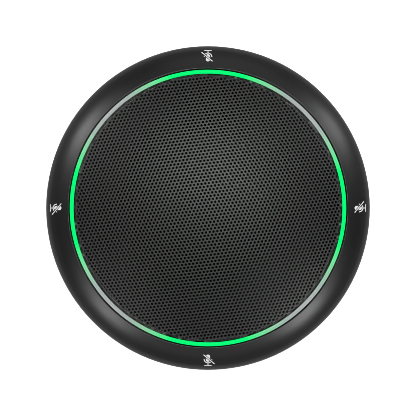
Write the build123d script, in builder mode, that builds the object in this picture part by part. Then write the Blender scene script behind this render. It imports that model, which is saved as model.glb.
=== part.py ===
from build123d import *
import os
from math import acos, cos, radians, sin, sqrt

# A round table speakerphone: a satin bezel round a domed, perforated grille, with a light ring between them.
# Frame: origin on the table under the centre, +Z up, front towards -Y, the cable socket at the rear (+Y).
# All sizes are in millimetres. The grille is drawn unperforated.

os.makedirs("parts", exist_ok=True)

# ---------------------------------------------------------------- driving dimensions
# Overall
overall_diameter = 134.0
overall_height = 35.5

# Levels that the lower casing and the frame share
foot_height = 1.0             # the casing's underside above the table
casing_wall = 2.2
casing_rim_z = 13.8           # top face of the lower casing's rim
casing_corner_radius = 14.0   # side of the lower casing, seen in section
rim_ledge_width = 7.0
rim_ledge_height = 2.2
parting_gap = 0.4             # shadow line between the casing and the bezel
gasket_height = 0.8
deck_thickness = 1.8
parting_round = 0.2           # on the two edges of the shadow line
screw_count = 4               # in each set
diagonal = 45.0               # degrees, the first diagonal, where the screws and the microphones stand

# Top bezel
bezel_width = 9.55            # from the outer edge in to the light ring's gap
bezel_wall = 2.2
bezel_inner_slope = 22.0      # degrees, where the bezel meets the light ring
bezel_shoulder_slope = 48.0   # degrees, where the broad shoulder turns into the tight edge
bezel_edge_radius = 7.0
bezel_straight_edge = 0.3
bezel_lip_depth = 3.2         # from the bezel's inner edge down to the face that holds the light guide
bezel_lip_round = 0.3

# Light ring
ring_width = 1.6
ring_gap = 0.4                # dark gap between the ring and the bezel
ring_proud = 0.35             # crown of the ring above the bezel's inner edge
ring_crown = 0.3
guide_flange_height = 1.2
guide_flange_inner = 0.9      # flange, in from the ring's inner wall
guide_flange_outer = 1.8      # flange, out from the ring's outer wall
led_count = 24
led_length = 2.0
led_depth = 1.4
led_height = 0.8
led_cell_length = 6.0         # cell in the reflector over each LED
led_cell_depth = 2.4
led_cell_corner = 0.6
led_board_height = 1.2
led_board_inner = 1.1         # board, in from the ring's inner wall
led_board_outer = 2.6         # board, out from the ring's outer wall

# Grille and the cloth under it
grille_thickness = 0.75
grille_bend_inner_radius = 0.15
grille_gap = 0.1              # between the grille's skirt and the light ring
grille_edge_drop = 0.9        # bend centre below the ring's crown
cloth_thickness = 0.4
cloth_clearance = 0.05
grille_wall_thickness = 1.8
grille_wall_gap = 0.65        # between the grille's skirt and the wall that it surrounds

# Loudspeaker
speaker_flange_radius = 29.0
speaker_headroom = 4.0        # flange up to the cloth, over the flange's edge
speaker_flange_height = 1.0
speaker_gasket_height = 0.8
speaker_flange_width = 5.4    # flange, from its outer edge in to the cone's opening
speaker_depth = 8.4           # flange top down to the motor's top plate
spider_drop = 6.2             # flange top down to the spider
basket_sheet = 0.8
basket_wall_offset = 1.0      # basket's wall under the flange, out from the cone's opening
basket_hub_margin = 1.0       # basket's hub, out from the coil's air gap
cone_sheet = 0.45
cone_neck_sheet = 0.54        # upright height of the cone's cut edge at the coil
surround_sheet = 0.4
surround_roll_radius = 1.8
coil_inner_radius = 7.2
coil_former_sheet = 0.3
coil_winding_sheet = 0.45
coil_winding_height = 3.6
coil_air_gap = 0.35
dust_cap_radius = 9.2
dust_cap_rise = 2.6
dust_cap_sheet = 0.35
surround_lip_width = 1.2
spider_sheet = 0.35
spider_half_waves = 6
spider_wave_height = 0.5
spider_lip_width = 1.0
spider_shelf_width = 3.0
cone_neck_height = 0.9        # cone's neck above the spider
coil_end_clearance = 0.6      # coil's end above the yoke at full inward travel
basket_vent_width = 9.0
basket_vent_count = 6
basket_vent_angle = 30.0
excursion = 1.5
top_plate_radius = 15.0
top_plate_height = 1.8
magnet_radius = 15.5
magnet_height = 4.0
magnet_setback = 0.8          # magnet's bore, out from the top plate's
yoke_height = 2.0
yoke_vent_radius = 2.0
speaker_screw_inset = 1.8     # screws, in from the flange's outer edge
tower_wall = 2.2

# Microphones, on the diagonals
mic_count = 4
mic_post_radius = 3.0
mic_post_bore_radius = 2.0
mic_board_height = 0.8
mic_boot_wall = 0.8
mic_boot_top = 1.2
mic_port_radius = 0.6
mic_capsule_length = 2.75
mic_capsule_width = 1.85
mic_capsule_height = 0.9
mic_ribbon_width = 2.2
mic_ribbon_sheet = 0.2
mic_ribbon_offset = 1.35      # ribbon, out from the post's axis
mic_boot_skirt = 2.0          # boot's skirt, down round the post

# Lower casing fittings
foot_ring_width = 11.0
foot_ring_height = 2.0
foot_ring_margin = 1.57       # from the groove out to the casing's bottom edge
casing_boss_radius = 3.4
casing_boss_top_z = 10.0
casing_screw_radius = 1.25
casing_screw_head_radius = 2.1
casing_screw_head_height = 1.8
deck_boss_radius = 3.0
standoff_height = 2.0
standoff_radius = 2.5
board_height = 1.6
board_screw_angle = 20.0
board_screw_inset = 3.5
board_hole_margin = 1.5       # board's hole, out from the loudspeaker's magnet
rating_plate_length = 50.0
rating_plate_width = 30.0
rating_plate_height = 0.25
rating_plate_recess = 0.3
rating_plate_corner = 2.0
rating_plate_y = 4.0
foot_ring_round = 0.5

# Cable socket and the bay that the plug sits in
usb_width = 8.94
usb_height = 3.26
usb_length = 7.3
usb_sheet = 0.3
usb_tongue_width = 6.7
usb_tongue_height = 0.7
usb_mouth_inset = 10.5        # socket's mouth, in from the outer diameter
bay_width = 14.0
bay_height = 7.6
bay_wall = 1.6
bay_corner_radius = 1.5
usb_back = 1.0                # solid back of the shell
usb_tongue_inset = 0.8        # tongue's tip, in from the shell's mouth
board_tab_width = 16.0

# Reset button, pressed up through the casing's floor with a pin
reset_stem_radius = 1.1
reset_collar_radius = 2.2
reset_collar_height = 0.6
reset_recess = 0.3
reset_travel = 0.3
reset_radius = 32.0           # from the centre, towards the front
reset_switch_size = 4.2
reset_switch_corner = 0.4

# Small screws and their holes
small_screw_radius = 0.9
small_screw_head_radius = 1.8
small_screw_head_height = 1.3
speaker_screw_head_radius = 1.6
casing_screw_length = 9.6
board_pilot_depth = 3.0
speaker_boss_radius = 2.2
speaker_boss_height = 5.0
speaker_pilot_depth = 6.0
bezel_boss_radius = 2.5
bezel_screw_head_radius = 1.8
bezel_screw_head_height = 1.0
bezel_pilot_depth = 3.6
deck_skin = 1.0               # left over the casing screws' blind holes

# Cables, connectors and tall components on the board
led_cable_angle = 158.0
led_cable_width = 6.0
led_cable_sheet = 0.3
led_cable_slot_width = 1.6
led_cable_slot_length = 7.0
led_cable_level_z = 11.0
led_cable_bend = 2.0
led_connector_depth = 4.0
led_connector_length = 8.0
led_connector_height = 1.5
speaker_connector_depth = 5.0
speaker_connector_length = 6.0
speaker_connector_height = 3.6
speaker_connector_margin = 2.0   # out from the board's hole
mic_connector_depth = 3.0
mic_connector_length = 4.0
mic_connector_height = 1.4
processor_angle = 0.0
processor_shield_size = (14.0, 18.0, 2.2)
codec_angle = 60.0
codec_size = (7.0, 7.0, 0.9)
amplifier_angle = -55.0
amplifier_size = (5.0, 5.0, 0.9)
inductor_angles = (-70.0, -40.0)
inductor_width = 4.8
inductor_height = 2.8
inductor_corner = 0.6
capacitor_angles = (170.0, 186.0)
capacitor_radius = 3.1
capacitor_height = 6.5
terminal_strip_reach = 5.2
terminal_strip_length = 8.0
terminal_strip_sheet = 0.9
lead_spacing = 3.0
lead_radius = 0.5
lead_bend = 1.8
lead_inset = 1.5              # leads, in from the terminal strip's outer end

# Touch pads under the bezel's skin, and their contacts
touch_pad_sheet = 0.3
touch_pad_gap = 0.6           # from the light guide's flange out to the pad
touch_pad_width = 4.2
touch_pad_angle = 14.0
contact_sheet = 0.2
contact_reach = 0.9
contact_width = 1.2

# Fits
running_clearance = 0.1
assembly_clearance = 0.3
pilot_clearance = 0.05
glue_line = 0.05
cut_margin = 1.0              # how far a cut runs past the face it breaks through

# ---------------------------------------------------------------- derived radii and levels
outer_radius = overall_diameter / 2
bezel_inner_radius = outer_radius - bezel_width
ring_outer_radius = bezel_inner_radius - ring_gap
ring_inner_radius = ring_outer_radius - ring_width
ring_mid_radius = (ring_outer_radius + ring_inner_radius) / 2
grille_radius = ring_inner_radius - grille_gap
grille_wall_outer = grille_radius - grille_thickness - grille_wall_gap
grille_wall_inner = grille_wall_outer - grille_wall_thickness

bezel_bottom_z = casing_rim_z + parting_gap
bezel_widest_z = bezel_bottom_z + bezel_straight_edge
deck_bottom_z = casing_rim_z + gasket_height
deck_top_z = deck_bottom_z + deck_thickness
deck_radius = outer_radius - bezel_wall - parting_gap
floor_top_z = foot_height + casing_wall

# The bezel's skin is two tangent arcs: a broad shoulder and a tight outer edge.
slope_low = radians(bezel_inner_slope)
slope_high = radians(bezel_shoulder_slope)
edge_centre = (outer_radius - bezel_edge_radius, bezel_widest_z)
shoulder_span = bezel_width - bezel_edge_radius * (1 - sin(slope_high))
shoulder_radius = shoulder_span / (sin(slope_high) - sin(slope_low))
shoulder_offset = shoulder_radius - bezel_edge_radius
shoulder_centre = (
    edge_centre[0] - shoulder_offset * sin(slope_high),
    edge_centre[1] - shoulder_offset * cos(slope_high),
)
bezel_crown_z = shoulder_centre[1] + shoulder_radius * cos(slope_low)
landing_z = bezel_crown_z - bezel_lip_depth

ring_top_z = bezel_crown_z + ring_proud
guide_flange_top_z = landing_z - running_clearance
guide_flange_bottom_z = guide_flange_top_z - guide_flange_height
led_board_top_z = deck_top_z + led_board_height

# The grille's dome is a sphere that meets its turned-down skirt in a small bend.
grille_bend_radius = grille_thickness + grille_bend_inner_radius
bend_centre_r = grille_radius - grille_bend_radius
bend_centre_z = ring_top_z - grille_edge_drop
dome_rise = overall_height - bend_centre_z
dome_radius = (
    (bend_centre_r**2 + dome_rise**2 - grille_bend_radius**2) / (2 * (dome_rise - grille_bend_radius))
)
dome_centre_z = overall_height - dome_radius
cloth_top_inset = grille_thickness + cloth_clearance
cloth_bottom_inset = cloth_top_inset + cloth_thickness


def dome_z(radius, inset):
    """Height of the surface that lies inset below the grille's outside, at a radius."""
    return dome_centre_z + sqrt((dome_radius - inset) ** 2 - radius**2)


speaker_opening_radius = speaker_flange_radius - speaker_flange_width
speaker_screw_circle_radius = speaker_flange_radius - speaker_screw_inset
flange_top_z = dome_z(speaker_flange_radius, cloth_bottom_inset) - speaker_headroom
flange_bottom_z = flange_top_z - speaker_flange_height
seat_z = flange_bottom_z - speaker_gasket_height
spider_z = flange_top_z - spider_drop
top_plate_z = flange_top_z - speaker_depth
magnet_top_z = top_plate_z - top_plate_height
yoke_top_z = magnet_top_z - magnet_height
yoke_bottom_z = yoke_top_z - yoke_height
coil_outer_radius = coil_inner_radius + coil_former_sheet
winding_radius = coil_outer_radius + coil_winding_sheet
tower_outer_radius = speaker_flange_radius + tower_wall
basket_wall_radius = speaker_opening_radius + basket_wall_offset
ledge_inner_radius = basket_wall_radius + basket_sheet

casing_foot_radius = (
    outer_radius
    - casing_corner_radius
    + sqrt(casing_corner_radius**2 - (casing_rim_z - foot_height) ** 2)
)
foot_ring_outer = casing_foot_radius - foot_ring_margin - running_clearance
foot_ring_inner = foot_ring_outer - foot_ring_width
screw_circle_radius = (foot_ring_outer + foot_ring_inner) / 2
groove_top_z = foot_ring_height
board_radius = screw_circle_radius - casing_boss_radius - 2 * assembly_clearance
board_hole_radius = magnet_radius + board_hole_margin
board_mid_radius = (board_radius + board_hole_radius) / 2
board_bottom_z = floor_top_z + standoff_height
board_top_z = board_bottom_z + board_height
board_screw_radius = board_radius - board_screw_inset
bezel_screw_circle_radius = deck_radius - bezel_boss_radius
mic_radius = (tower_outer_radius + grille_wall_inner) / 2
mic_boot_radius = mic_post_radius + running_clearance + mic_boot_wall
mic_boot_top_z = dome_z(mic_radius + mic_boot_radius, cloth_bottom_inset) - glue_line
mic_seat_z = mic_boot_top_z - mic_boot_top - mic_board_height


# ---------------------------------------------------------------- shared shapes
def radial_plane(angle):
    """Upright plane through the centre line, its X pointing out at an angle and its Y up."""
    turn = radians(angle)
    return Plane(origin=(0, 0, 0), x_dir=(cos(turn), sin(turn), 0), z_dir=(sin(turn), -cos(turn), 0))


def ring(inner, outer, bottom, top):
    """Flat ring about the centre line, or a disc where inner is 0."""
    with BuildPart() as piece:
        with BuildSketch(Plane.XY.offset(bottom)):
            Circle(outer)
            if inner > 0:
                Circle(inner, mode=Mode.SUBTRACT)
        extrude(amount=top - bottom)
    return piece


def turned(points):
    """Solid of revolution from the corners of its half section, given as (radius, height)."""
    with BuildPart() as piece:
        with BuildSketch(Plane.XZ):
            with BuildLine():
                Polyline(*points, close=True)
            make_face()
        revolve(axis=Axis.Z)
    return piece


def pan_screws(radius, count, start, head_bottom_z, head, shank, length, upwards):
    """Pan-head screws on a circle, each with a hexagon drive; upwards means the tip points up."""
    head_radius, head_height = head
    away = 1 if upwards else -1
    with BuildPart() as piece:
        with BuildSketch(Plane.XY.offset(head_bottom_z)):
            with PolarLocations(radius, count, start_angle=start):
                Circle(head_radius)
        extrude(amount=away * head_height)
        with BuildSketch(Plane.XY.offset(head_bottom_z)):
            with PolarLocations(radius, count, start_angle=start):
                RegularPolygon(head_radius / 2, 6)
        extrude(amount=away * head_height / 2, mode=Mode.SUBTRACT)
        with BuildSketch(Plane.XY.offset(head_bottom_z + away * head_height)):
            with PolarLocations(radius, count, start_angle=start):
                Circle(shank)
        extrude(amount=away * length)
    return piece


def chip(radius, angle, size, bottom):
    """Rectangular component on the board: size is (radial, tangential, height)."""
    with BuildPart() as piece:
        with BuildSketch(Plane.XY.offset(bottom)):
            with PolarLocations(radius, 1, start_angle=angle):
                Rectangle(size[0], size[1])
        extrude(amount=size[2])
    return piece


# ---------------------------------------------------------------- lower casing
# A shallow bowl with a gasket ledge round its rim, screw bosses, board standoffs,
# a groove for the foot ring, and a bay in its rear wall for the cable's plug.
casing_arc_centre = (outer_radius - casing_corner_radius, casing_rim_z)
casing_inner_arc = casing_corner_radius - casing_wall
ledge_inner = outer_radius - rim_ledge_width
ledge_bottom_z = casing_rim_z - rim_ledge_height


def casing_arc(arc_radius, height):
    """Point on the side's arc, or on its inner offset, at a height."""
    reach = sqrt(arc_radius**2 - (casing_arc_centre[1] - height) ** 2)
    return (casing_arc_centre[0] + reach, height)


counterbore_top_z = groove_top_z + casing_screw_head_height + 2 * assembly_clearance
usb_mid_z = board_top_z + usb_height / 2
usb_mouth_y = outer_radius - usb_mouth_inset
bay_back_y = usb_mouth_y - bay_wall

# The hollow of the bowl, less the bosses, the standoffs and the bay's walls, which stay standing in it.
with BuildPart() as casing_hollow:
    with BuildSketch(Plane.XZ):
        with BuildLine():
            inner_side = ThreePointArc(
                casing_arc(casing_inner_arc, ledge_bottom_z),
                casing_arc(casing_inner_arc, (ledge_bottom_z + floor_top_z) / 2),
                casing_arc(casing_inner_arc, floor_top_z),
            )
            Polyline(
                inner_side @ 1,
                (0, floor_top_z),
                (0, casing_rim_z),
                (ledge_inner, casing_rim_z),
                (ledge_inner, ledge_bottom_z),
                inner_side @ 0,
            )
        make_face()
    revolve(axis=Axis.Z)
    with BuildSketch(Plane.XY.offset(floor_top_z)):
        with PolarLocations(screw_circle_radius, screw_count, start_angle=diagonal):
            Circle(casing_boss_radius)
    extrude(amount=casing_boss_top_z - floor_top_z, mode=Mode.SUBTRACT)
    with BuildSketch(Plane.XY.offset(floor_top_z)):
        with PolarLocations(board_screw_radius, screw_count, start_angle=board_screw_angle):
            Circle(standoff_radius)
    extrude(amount=standoff_height, mode=Mode.SUBTRACT)
    with BuildSketch(Plane.XY.offset(floor_top_z)):
        with Locations((0, bay_back_y)):
            Rectangle(bay_width + 2 * bay_wall, outer_radius - bay_back_y, align=(Align.CENTER, Align.MIN))
    extrude(amount=casing_rim_z - floor_top_z, mode=Mode.SUBTRACT)

with BuildPart() as bottom_housing:
    with BuildSketch(Plane.XZ):
        with BuildLine():
            side = ThreePointArc(
                casing_arc(casing_corner_radius, foot_height),
                casing_arc(casing_corner_radius, (foot_height + casing_rim_z) / 2),
                casing_arc(casing_corner_radius, casing_rim_z),
            )
            Polyline(side @ 1, (0, casing_rim_z), (0, foot_height), side @ 0)
        make_face()
    revolve(axis=Axis.Z)
    casing_rim = bottom_housing.edges().filter_by(GeomType.CIRCLE).sort_by(Axis.Z)[-1]
    fillet(casing_rim, parting_round)
    add(casing_hollow.part, mode=Mode.SUBTRACT)
    # bay for the plug, and the hole in its back for the socket
    with BuildSketch(Plane.XZ.offset(-usb_mouth_y)):
        with Locations((0, usb_mid_z)):
            RectangleRounded(bay_width, bay_height, bay_corner_radius)
    extrude(amount=-(usb_mouth_inset + cut_margin), mode=Mode.SUBTRACT)
    with BuildSketch(Plane.XZ.offset(-bay_back_y)):
        with Locations((0, usb_mid_z)):
            SlotOverall(usb_width + 2 * running_clearance, usb_height + 2 * running_clearance)
    extrude(amount=-bay_wall, mode=Mode.SUBTRACT)
    # groove for the foot ring, and the casing screws' counterbores and holes above it
    with BuildSketch(Plane.XY.offset(foot_height)):
        Circle(foot_ring_outer + running_clearance)
        Circle(foot_ring_inner - running_clearance, mode=Mode.SUBTRACT)
    extrude(amount=groove_top_z - foot_height, mode=Mode.SUBTRACT)
    with BuildSketch(Plane.XY.offset(groove_top_z)):
        with PolarLocations(screw_circle_radius, screw_count, start_angle=diagonal):
            Circle(casing_screw_head_radius + assembly_clearance)
    extrude(amount=counterbore_top_z - groove_top_z, mode=Mode.SUBTRACT)
    with BuildSketch(Plane.XY.offset(counterbore_top_z)):
        with PolarLocations(screw_circle_radius, screw_count, start_angle=diagonal):
            Circle(casing_screw_radius + assembly_clearance)
    extrude(amount=casing_boss_top_z - counterbore_top_z, mode=Mode.SUBTRACT)
    # pilot holes in the standoffs
    with BuildSketch(Plane.XY.offset(board_bottom_z)):
        with PolarLocations(board_screw_radius, screw_count, start_angle=board_screw_angle):
            Circle(small_screw_radius + pilot_clearance)
    extrude(amount=-board_pilot_depth, mode=Mode.SUBTRACT)
    # recess for the rating plate and hole for the reset button
    with BuildSketch(Plane.XY.offset(foot_height)):
        with Locations((0, rating_plate_y)):
            RectangleRounded(rating_plate_length, rating_plate_width, rating_plate_corner)
    extrude(amount=rating_plate_recess, mode=Mode.SUBTRACT)
    with BuildSketch(Plane.XY.offset(foot_height)):
        with Locations((0, -reset_radius)):
            Circle(reset_stem_radius + running_clearance)
    extrude(amount=casing_wall, mode=Mode.SUBTRACT)
bottom_housing.part.label = "bottom_housing"
export_step(bottom_housing.part, "parts/bottom_housing.step")

# Soft ring that the object stands on, pressed into the groove over the casing screws.
with BuildPart() as foot_ring:
    with BuildSketch():
        Circle(foot_ring_outer)
        Circle(foot_ring_inner, mode=Mode.SUBTRACT)
    extrude(amount=foot_ring_height)
    fillet(foot_ring.edges().group_by(Axis.Z)[0], foot_ring_round)
foot_ring.part.label = "foot_ring"
export_step(foot_ring.part, "parts/foot_ring.step")

# Four screws from below, through the casing's bosses into the frame.
casing_screws = pan_screws(
    screw_circle_radius,
    screw_count,
    diagonal,
    counterbore_top_z - casing_screw_head_height,
    (casing_screw_head_radius, casing_screw_head_height),
    casing_screw_radius,
    casing_screw_length,
    upwards=True,
)
casing_screws.part.label = "casing_screws"
export_step(casing_screws.part, "parts/casing_screws.step")

enclosure_gasket = ring(
    ledge_inner + assembly_clearance, deck_radius - assembly_clearance, casing_rim_z, deck_bottom_z
)
enclosure_gasket.part.label = "enclosure_gasket"
export_step(enclosure_gasket.part, "parts/enclosure_gasket.step")

with BuildPart() as rating_plate:
    with BuildSketch(Plane.XY.offset(foot_height + rating_plate_recess)):
        with Locations((0, rating_plate_y)):
            RectangleRounded(
                rating_plate_length - 2 * running_clearance,
                rating_plate_width - 2 * running_clearance,
                rating_plate_corner - running_clearance,
            )
    extrude(amount=-rating_plate_height)
rating_plate.part.label = "rating_plate"
export_step(rating_plate.part, "parts/rating_plate.step")

# ---------------------------------------------------------------- reset button
# A stem with a collar that lies on the casing's floor, just under a low switch on the board.
with BuildPart() as reset_button:
    with BuildSketch(Plane.XY.offset(foot_height + reset_recess)):
        with Locations((0, -reset_radius)):
            Circle(reset_stem_radius)
    extrude(amount=casing_wall - reset_recess)
    with BuildSketch(Plane.XY.offset(floor_top_z)):
        with Locations((0, -reset_radius)):
            Circle(reset_collar_radius)
    extrude(amount=reset_collar_height)
reset_button.part.label = "reset_button"
export_step(reset_button.part, "parts/reset_button.step")

reset_switch_height = standoff_height - reset_collar_height - reset_travel - running_clearance
with BuildPart() as reset_switch:
    with BuildSketch(Plane.XY.offset(board_bottom_z)):
        with Locations((0, -reset_radius)):
            RectangleRounded(reset_switch_size, reset_switch_size, reset_switch_corner)
    extrude(amount=-reset_switch_height)
reset_switch.part.label = "reset_switch"
export_step(reset_switch.part, "parts/reset_switch.step")

# ---------------------------------------------------------------- main board
# A ring-shaped board round the loudspeaker's motor, with a tab under the cable socket.
with BuildPart() as main_board:
    with BuildSketch(Plane.XY.offset(board_bottom_z)):
        Circle(board_radius)
        with Locations((0, board_mid_radius)):
            Rectangle(
                board_tab_width,
                bay_back_y - assembly_clearance - board_mid_radius,
                align=(Align.CENTER, Align.MIN),
            )
        Circle(board_hole_radius, mode=Mode.SUBTRACT)
        with PolarLocations(board_screw_radius, screw_count, start_angle=board_screw_angle):
            Circle(small_screw_radius + assembly_clearance, mode=Mode.SUBTRACT)
    extrude(amount=board_height)
main_board.part.label = "main_board"
export_step(main_board.part, "parts/main_board.step")

board_screws = pan_screws(
    board_screw_radius,
    screw_count,
    board_screw_angle,
    board_top_z + small_screw_head_height,
    (small_screw_head_radius, small_screw_head_height),
    small_screw_radius,
    board_height + board_pilot_depth - assembly_clearance,
    upwards=False,
)
board_screws.part.label = "board_screws"
export_step(board_screws.part, "parts/board_screws.step")

processor_shield = chip(board_mid_radius, processor_angle, processor_shield_size, board_top_z)
processor_shield.part.label = "processor_shield"
export_step(processor_shield.part, "parts/processor_shield.step")

audio_codec_chip = chip(board_mid_radius, codec_angle, codec_size, board_top_z)
audio_codec_chip.part.label = "audio_codec_chip"
export_step(audio_codec_chip.part, "parts/audio_codec_chip.step")

amplifier_chip = chip(board_mid_radius, amplifier_angle, amplifier_size, board_top_z)
amplifier_chip.part.label = "amplifier_chip"
export_step(amplifier_chip.part, "parts/amplifier_chip.step")

with BuildPart() as amp_inductors:
    for angle in inductor_angles:
        with BuildSketch(Plane.XY.offset(board_top_z)):
            with PolarLocations(board_mid_radius, 1, start_angle=angle):
                RectangleRounded(inductor_width, inductor_width, inductor_corner)
        extrude(amount=inductor_height)
amp_inductors.part.label = "amp_inductors"
export_step(amp_inductors.part, "parts/amp_inductors.step")

with BuildPart() as bulk_capacitors:
    for angle in capacitor_angles:
        with BuildSketch(Plane.XY.offset(board_top_z)):
            with PolarLocations(board_mid_radius, 1, start_angle=angle):
                Circle(capacitor_radius)
        extrude(amount=capacitor_height)
bulk_capacitors.part.label = "bulk_capacitors"
export_step(bulk_capacitors.part, "parts/bulk_capacitors.step")

# Cable socket: a drawn steel shell, open at its mouth, and the tongue inside it.
with BuildPart() as usb_c_shell:
    with BuildSketch(Plane.XZ.offset(-usb_mouth_y)):
        with Locations((0, usb_mid_z)):
            SlotOverall(usb_width, usb_height)
    extrude(amount=usb_length)
    with BuildSketch(Plane.XZ.offset(-usb_mouth_y)):
        with Locations((0, usb_mid_z)):
            SlotOverall(usb_width - 2 * usb_sheet, usb_height - 2 * usb_sheet)
    extrude(amount=usb_length - usb_back, mode=Mode.SUBTRACT)
usb_c_shell.part.label = "usb_c_shell"
export_step(usb_c_shell.part, "parts/usb_c_shell.step")

with BuildPart() as usb_c_tongue:
    with BuildSketch(Plane.XZ.offset(-usb_mouth_y + usb_length - usb_back)):
        with Locations((0, usb_mid_z)):
            Rectangle(usb_tongue_width, usb_tongue_height)
    extrude(amount=-(usb_length - usb_back - usb_tongue_inset))
usb_c_tongue.part.label = "usb_c_tongue"
export_step(usb_c_tongue.part, "parts/usb_c_tongue.step")

# ---------------------------------------------------------------- inner frame
# A moulded deck that carries the loudspeaker's tower, the wall under the cloth's edge,
# the microphone posts and the light ring's board. It is screwed to the casing below and the bezel above.
with BuildPart() as baffle:
    with BuildSketch(Plane.XZ):
        with BuildLine():
            Polyline(
                (speaker_flange_radius, deck_bottom_z),
                (deck_radius, deck_bottom_z),
                (deck_radius, deck_top_z),
                (grille_wall_outer, deck_top_z),
                (grille_wall_outer, dome_z(grille_wall_outer, cloth_bottom_inset) - glue_line),
                (grille_wall_inner, dome_z(grille_wall_inner, cloth_bottom_inset) - glue_line),
                (grille_wall_inner, deck_top_z),
                (tower_outer_radius, deck_top_z),
                (tower_outer_radius, seat_z),
                (ledge_inner_radius, seat_z),
                (ledge_inner_radius, seat_z - tower_wall),
                (speaker_flange_radius, seat_z - tower_wall),
                close=True,
            )
        make_face()
    revolve(axis=Axis.Z)
    # bosses under the tower's ledge for the loudspeaker's screws
    with BuildSketch(Plane.XY.offset(seat_z - tower_wall)):
        with PolarLocations(speaker_screw_circle_radius, screw_count, start_angle=diagonal):
            Circle(speaker_boss_radius)
    extrude(amount=-speaker_boss_height)
    with BuildSketch(Plane.XY.offset(seat_z)):
        with PolarLocations(speaker_screw_circle_radius, screw_count, start_angle=diagonal):
            Circle(small_screw_radius + pilot_clearance)
    extrude(amount=-speaker_pilot_depth, mode=Mode.SUBTRACT)
    # hollow posts that carry the microphones
    with BuildSketch(Plane.XY.offset(deck_top_z)):
        with PolarLocations(mic_radius, mic_count, start_angle=diagonal):
            Circle(mic_post_radius)
    extrude(amount=mic_seat_z - deck_top_z)
    with BuildSketch(Plane.XY.offset(deck_bottom_z)):
        with PolarLocations(mic_radius, mic_count, start_angle=diagonal):
            Circle(mic_post_bore_radius)
    extrude(amount=mic_seat_z - deck_bottom_z, mode=Mode.SUBTRACT)
    # bosses under the deck for the casing screws
    with BuildSketch(Plane.XY.offset(deck_bottom_z)):
        with PolarLocations(screw_circle_radius, screw_count, start_angle=diagonal):
            Circle(deck_boss_radius)
    extrude(amount=-(deck_bottom_z - casing_boss_top_z - running_clearance))
    with BuildSketch(Plane.XY.offset(casing_boss_top_z)):
        with PolarLocations(screw_circle_radius, screw_count, start_angle=diagonal):
            Circle(casing_screw_radius + pilot_clearance)
    extrude(amount=deck_top_z - deck_skin - casing_boss_top_z, mode=Mode.SUBTRACT)
    # countersunk holes for the bezel screws
    with Locations(Plane.XY.offset(deck_bottom_z)):
        with PolarLocations(bezel_screw_circle_radius, screw_count, start_angle=diagonal):
            Cone(
                bezel_screw_head_radius + running_clearance,
                small_screw_radius + running_clearance,
                bezel_screw_head_height,
                align=(Align.CENTER, Align.CENTER, Align.MIN),
                mode=Mode.SUBTRACT,
            )
            Cylinder(
                small_screw_radius + running_clearance,
                deck_thickness,
                align=(Align.CENTER, Align.CENTER, Align.MIN),
                mode=Mode.SUBTRACT,
            )
    # slot for the light ring's cable
    with BuildSketch(Plane.XY.offset(deck_bottom_z)):
        with PolarLocations(ring_mid_radius, 1, start_angle=led_cable_angle):
            Rectangle(led_cable_slot_width, led_cable_slot_length)
    extrude(amount=deck_thickness, mode=Mode.SUBTRACT)
baffle.part.label = "baffle"
export_step(baffle.part, "parts/baffle.step")


# ---------------------------------------------------------------- top bezel
def bezel_section(inset, low_slope):
    """Half section of what lies under the bezel's skin, or under its inner offset, down to its edge."""
    shoulder = shoulder_radius - inset
    edge = bezel_edge_radius - inset

    def shoulder_point(slope):
        return (shoulder_centre[0] + shoulder * sin(slope), shoulder_centre[1] + shoulder * cos(slope))

    def edge_point(slope):
        return (edge_centre[0] + edge * sin(slope), edge_centre[1] + edge * cos(slope))

    with BuildSketch(Plane.XZ) as section:
        with BuildLine():
            upper = ThreePointArc(
                shoulder_point(low_slope),
                shoulder_point((low_slope + slope_high) / 2),
                shoulder_point(slope_high),
            )
            lower = ThreePointArc(
                upper @ 1,
                edge_point((slope_high + radians(90)) / 2),
                edge_point(radians(90)),
            )
            Polyline(
                lower @ 1,
                (outer_radius - inset, bezel_bottom_z),
                ((upper @ 0).X, bezel_bottom_z),
                upper @ 0,
            )
        make_face()
    return section.sketch


# The hollow under the skin stops at the flat face that holds the light guide, and leaves four screw bosses.
landing_slope = acos((landing_z - shoulder_centre[1]) / (shoulder_radius - bezel_wall))
landing_radius = shoulder_centre[0] + (shoulder_radius - bezel_wall) * sin(landing_slope)
with BuildPart() as bezel_hollow:
    revolve(bezel_section(bezel_wall, landing_slope), axis=Axis.Z)
    with BuildSketch(Plane.XY.offset(bezel_bottom_z)):
        Circle(landing_radius)
    extrude(amount=landing_z - bezel_bottom_z)
    with BuildSketch(Plane.XY.offset(deck_top_z)):
        with PolarLocations(bezel_screw_circle_radius, screw_count, start_angle=diagonal):
            Circle(bezel_boss_radius)
    extrude(amount=bezel_crown_z - deck_top_z, mode=Mode.SUBTRACT)

with BuildPart() as top_bezel:
    revolve(bezel_section(0, slope_low), axis=Axis.Z)
    parting_edge = top_bezel.edges().filter_by(GeomType.CIRCLE).group_by(Axis.Z)[0].sort_by(SortBy.RADIUS)[-1]
    fillet(parting_edge, parting_round)
    add(bezel_hollow.part, mode=Mode.SUBTRACT)
    inner_edge = top_bezel.edges().filter_by(GeomType.CIRCLE).sort_by(Axis.Z)[-1]
    fillet(inner_edge, bezel_lip_round)
    with BuildSketch(Plane.XY.offset(deck_top_z)):
        with PolarLocations(bezel_screw_circle_radius, screw_count, start_angle=diagonal):
            Circle(small_screw_radius + pilot_clearance)
    extrude(amount=bezel_pilot_depth, mode=Mode.SUBTRACT)
top_bezel.part.label = "top_bezel"
export_step(top_bezel.part, "parts/top_bezel.step")

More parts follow.
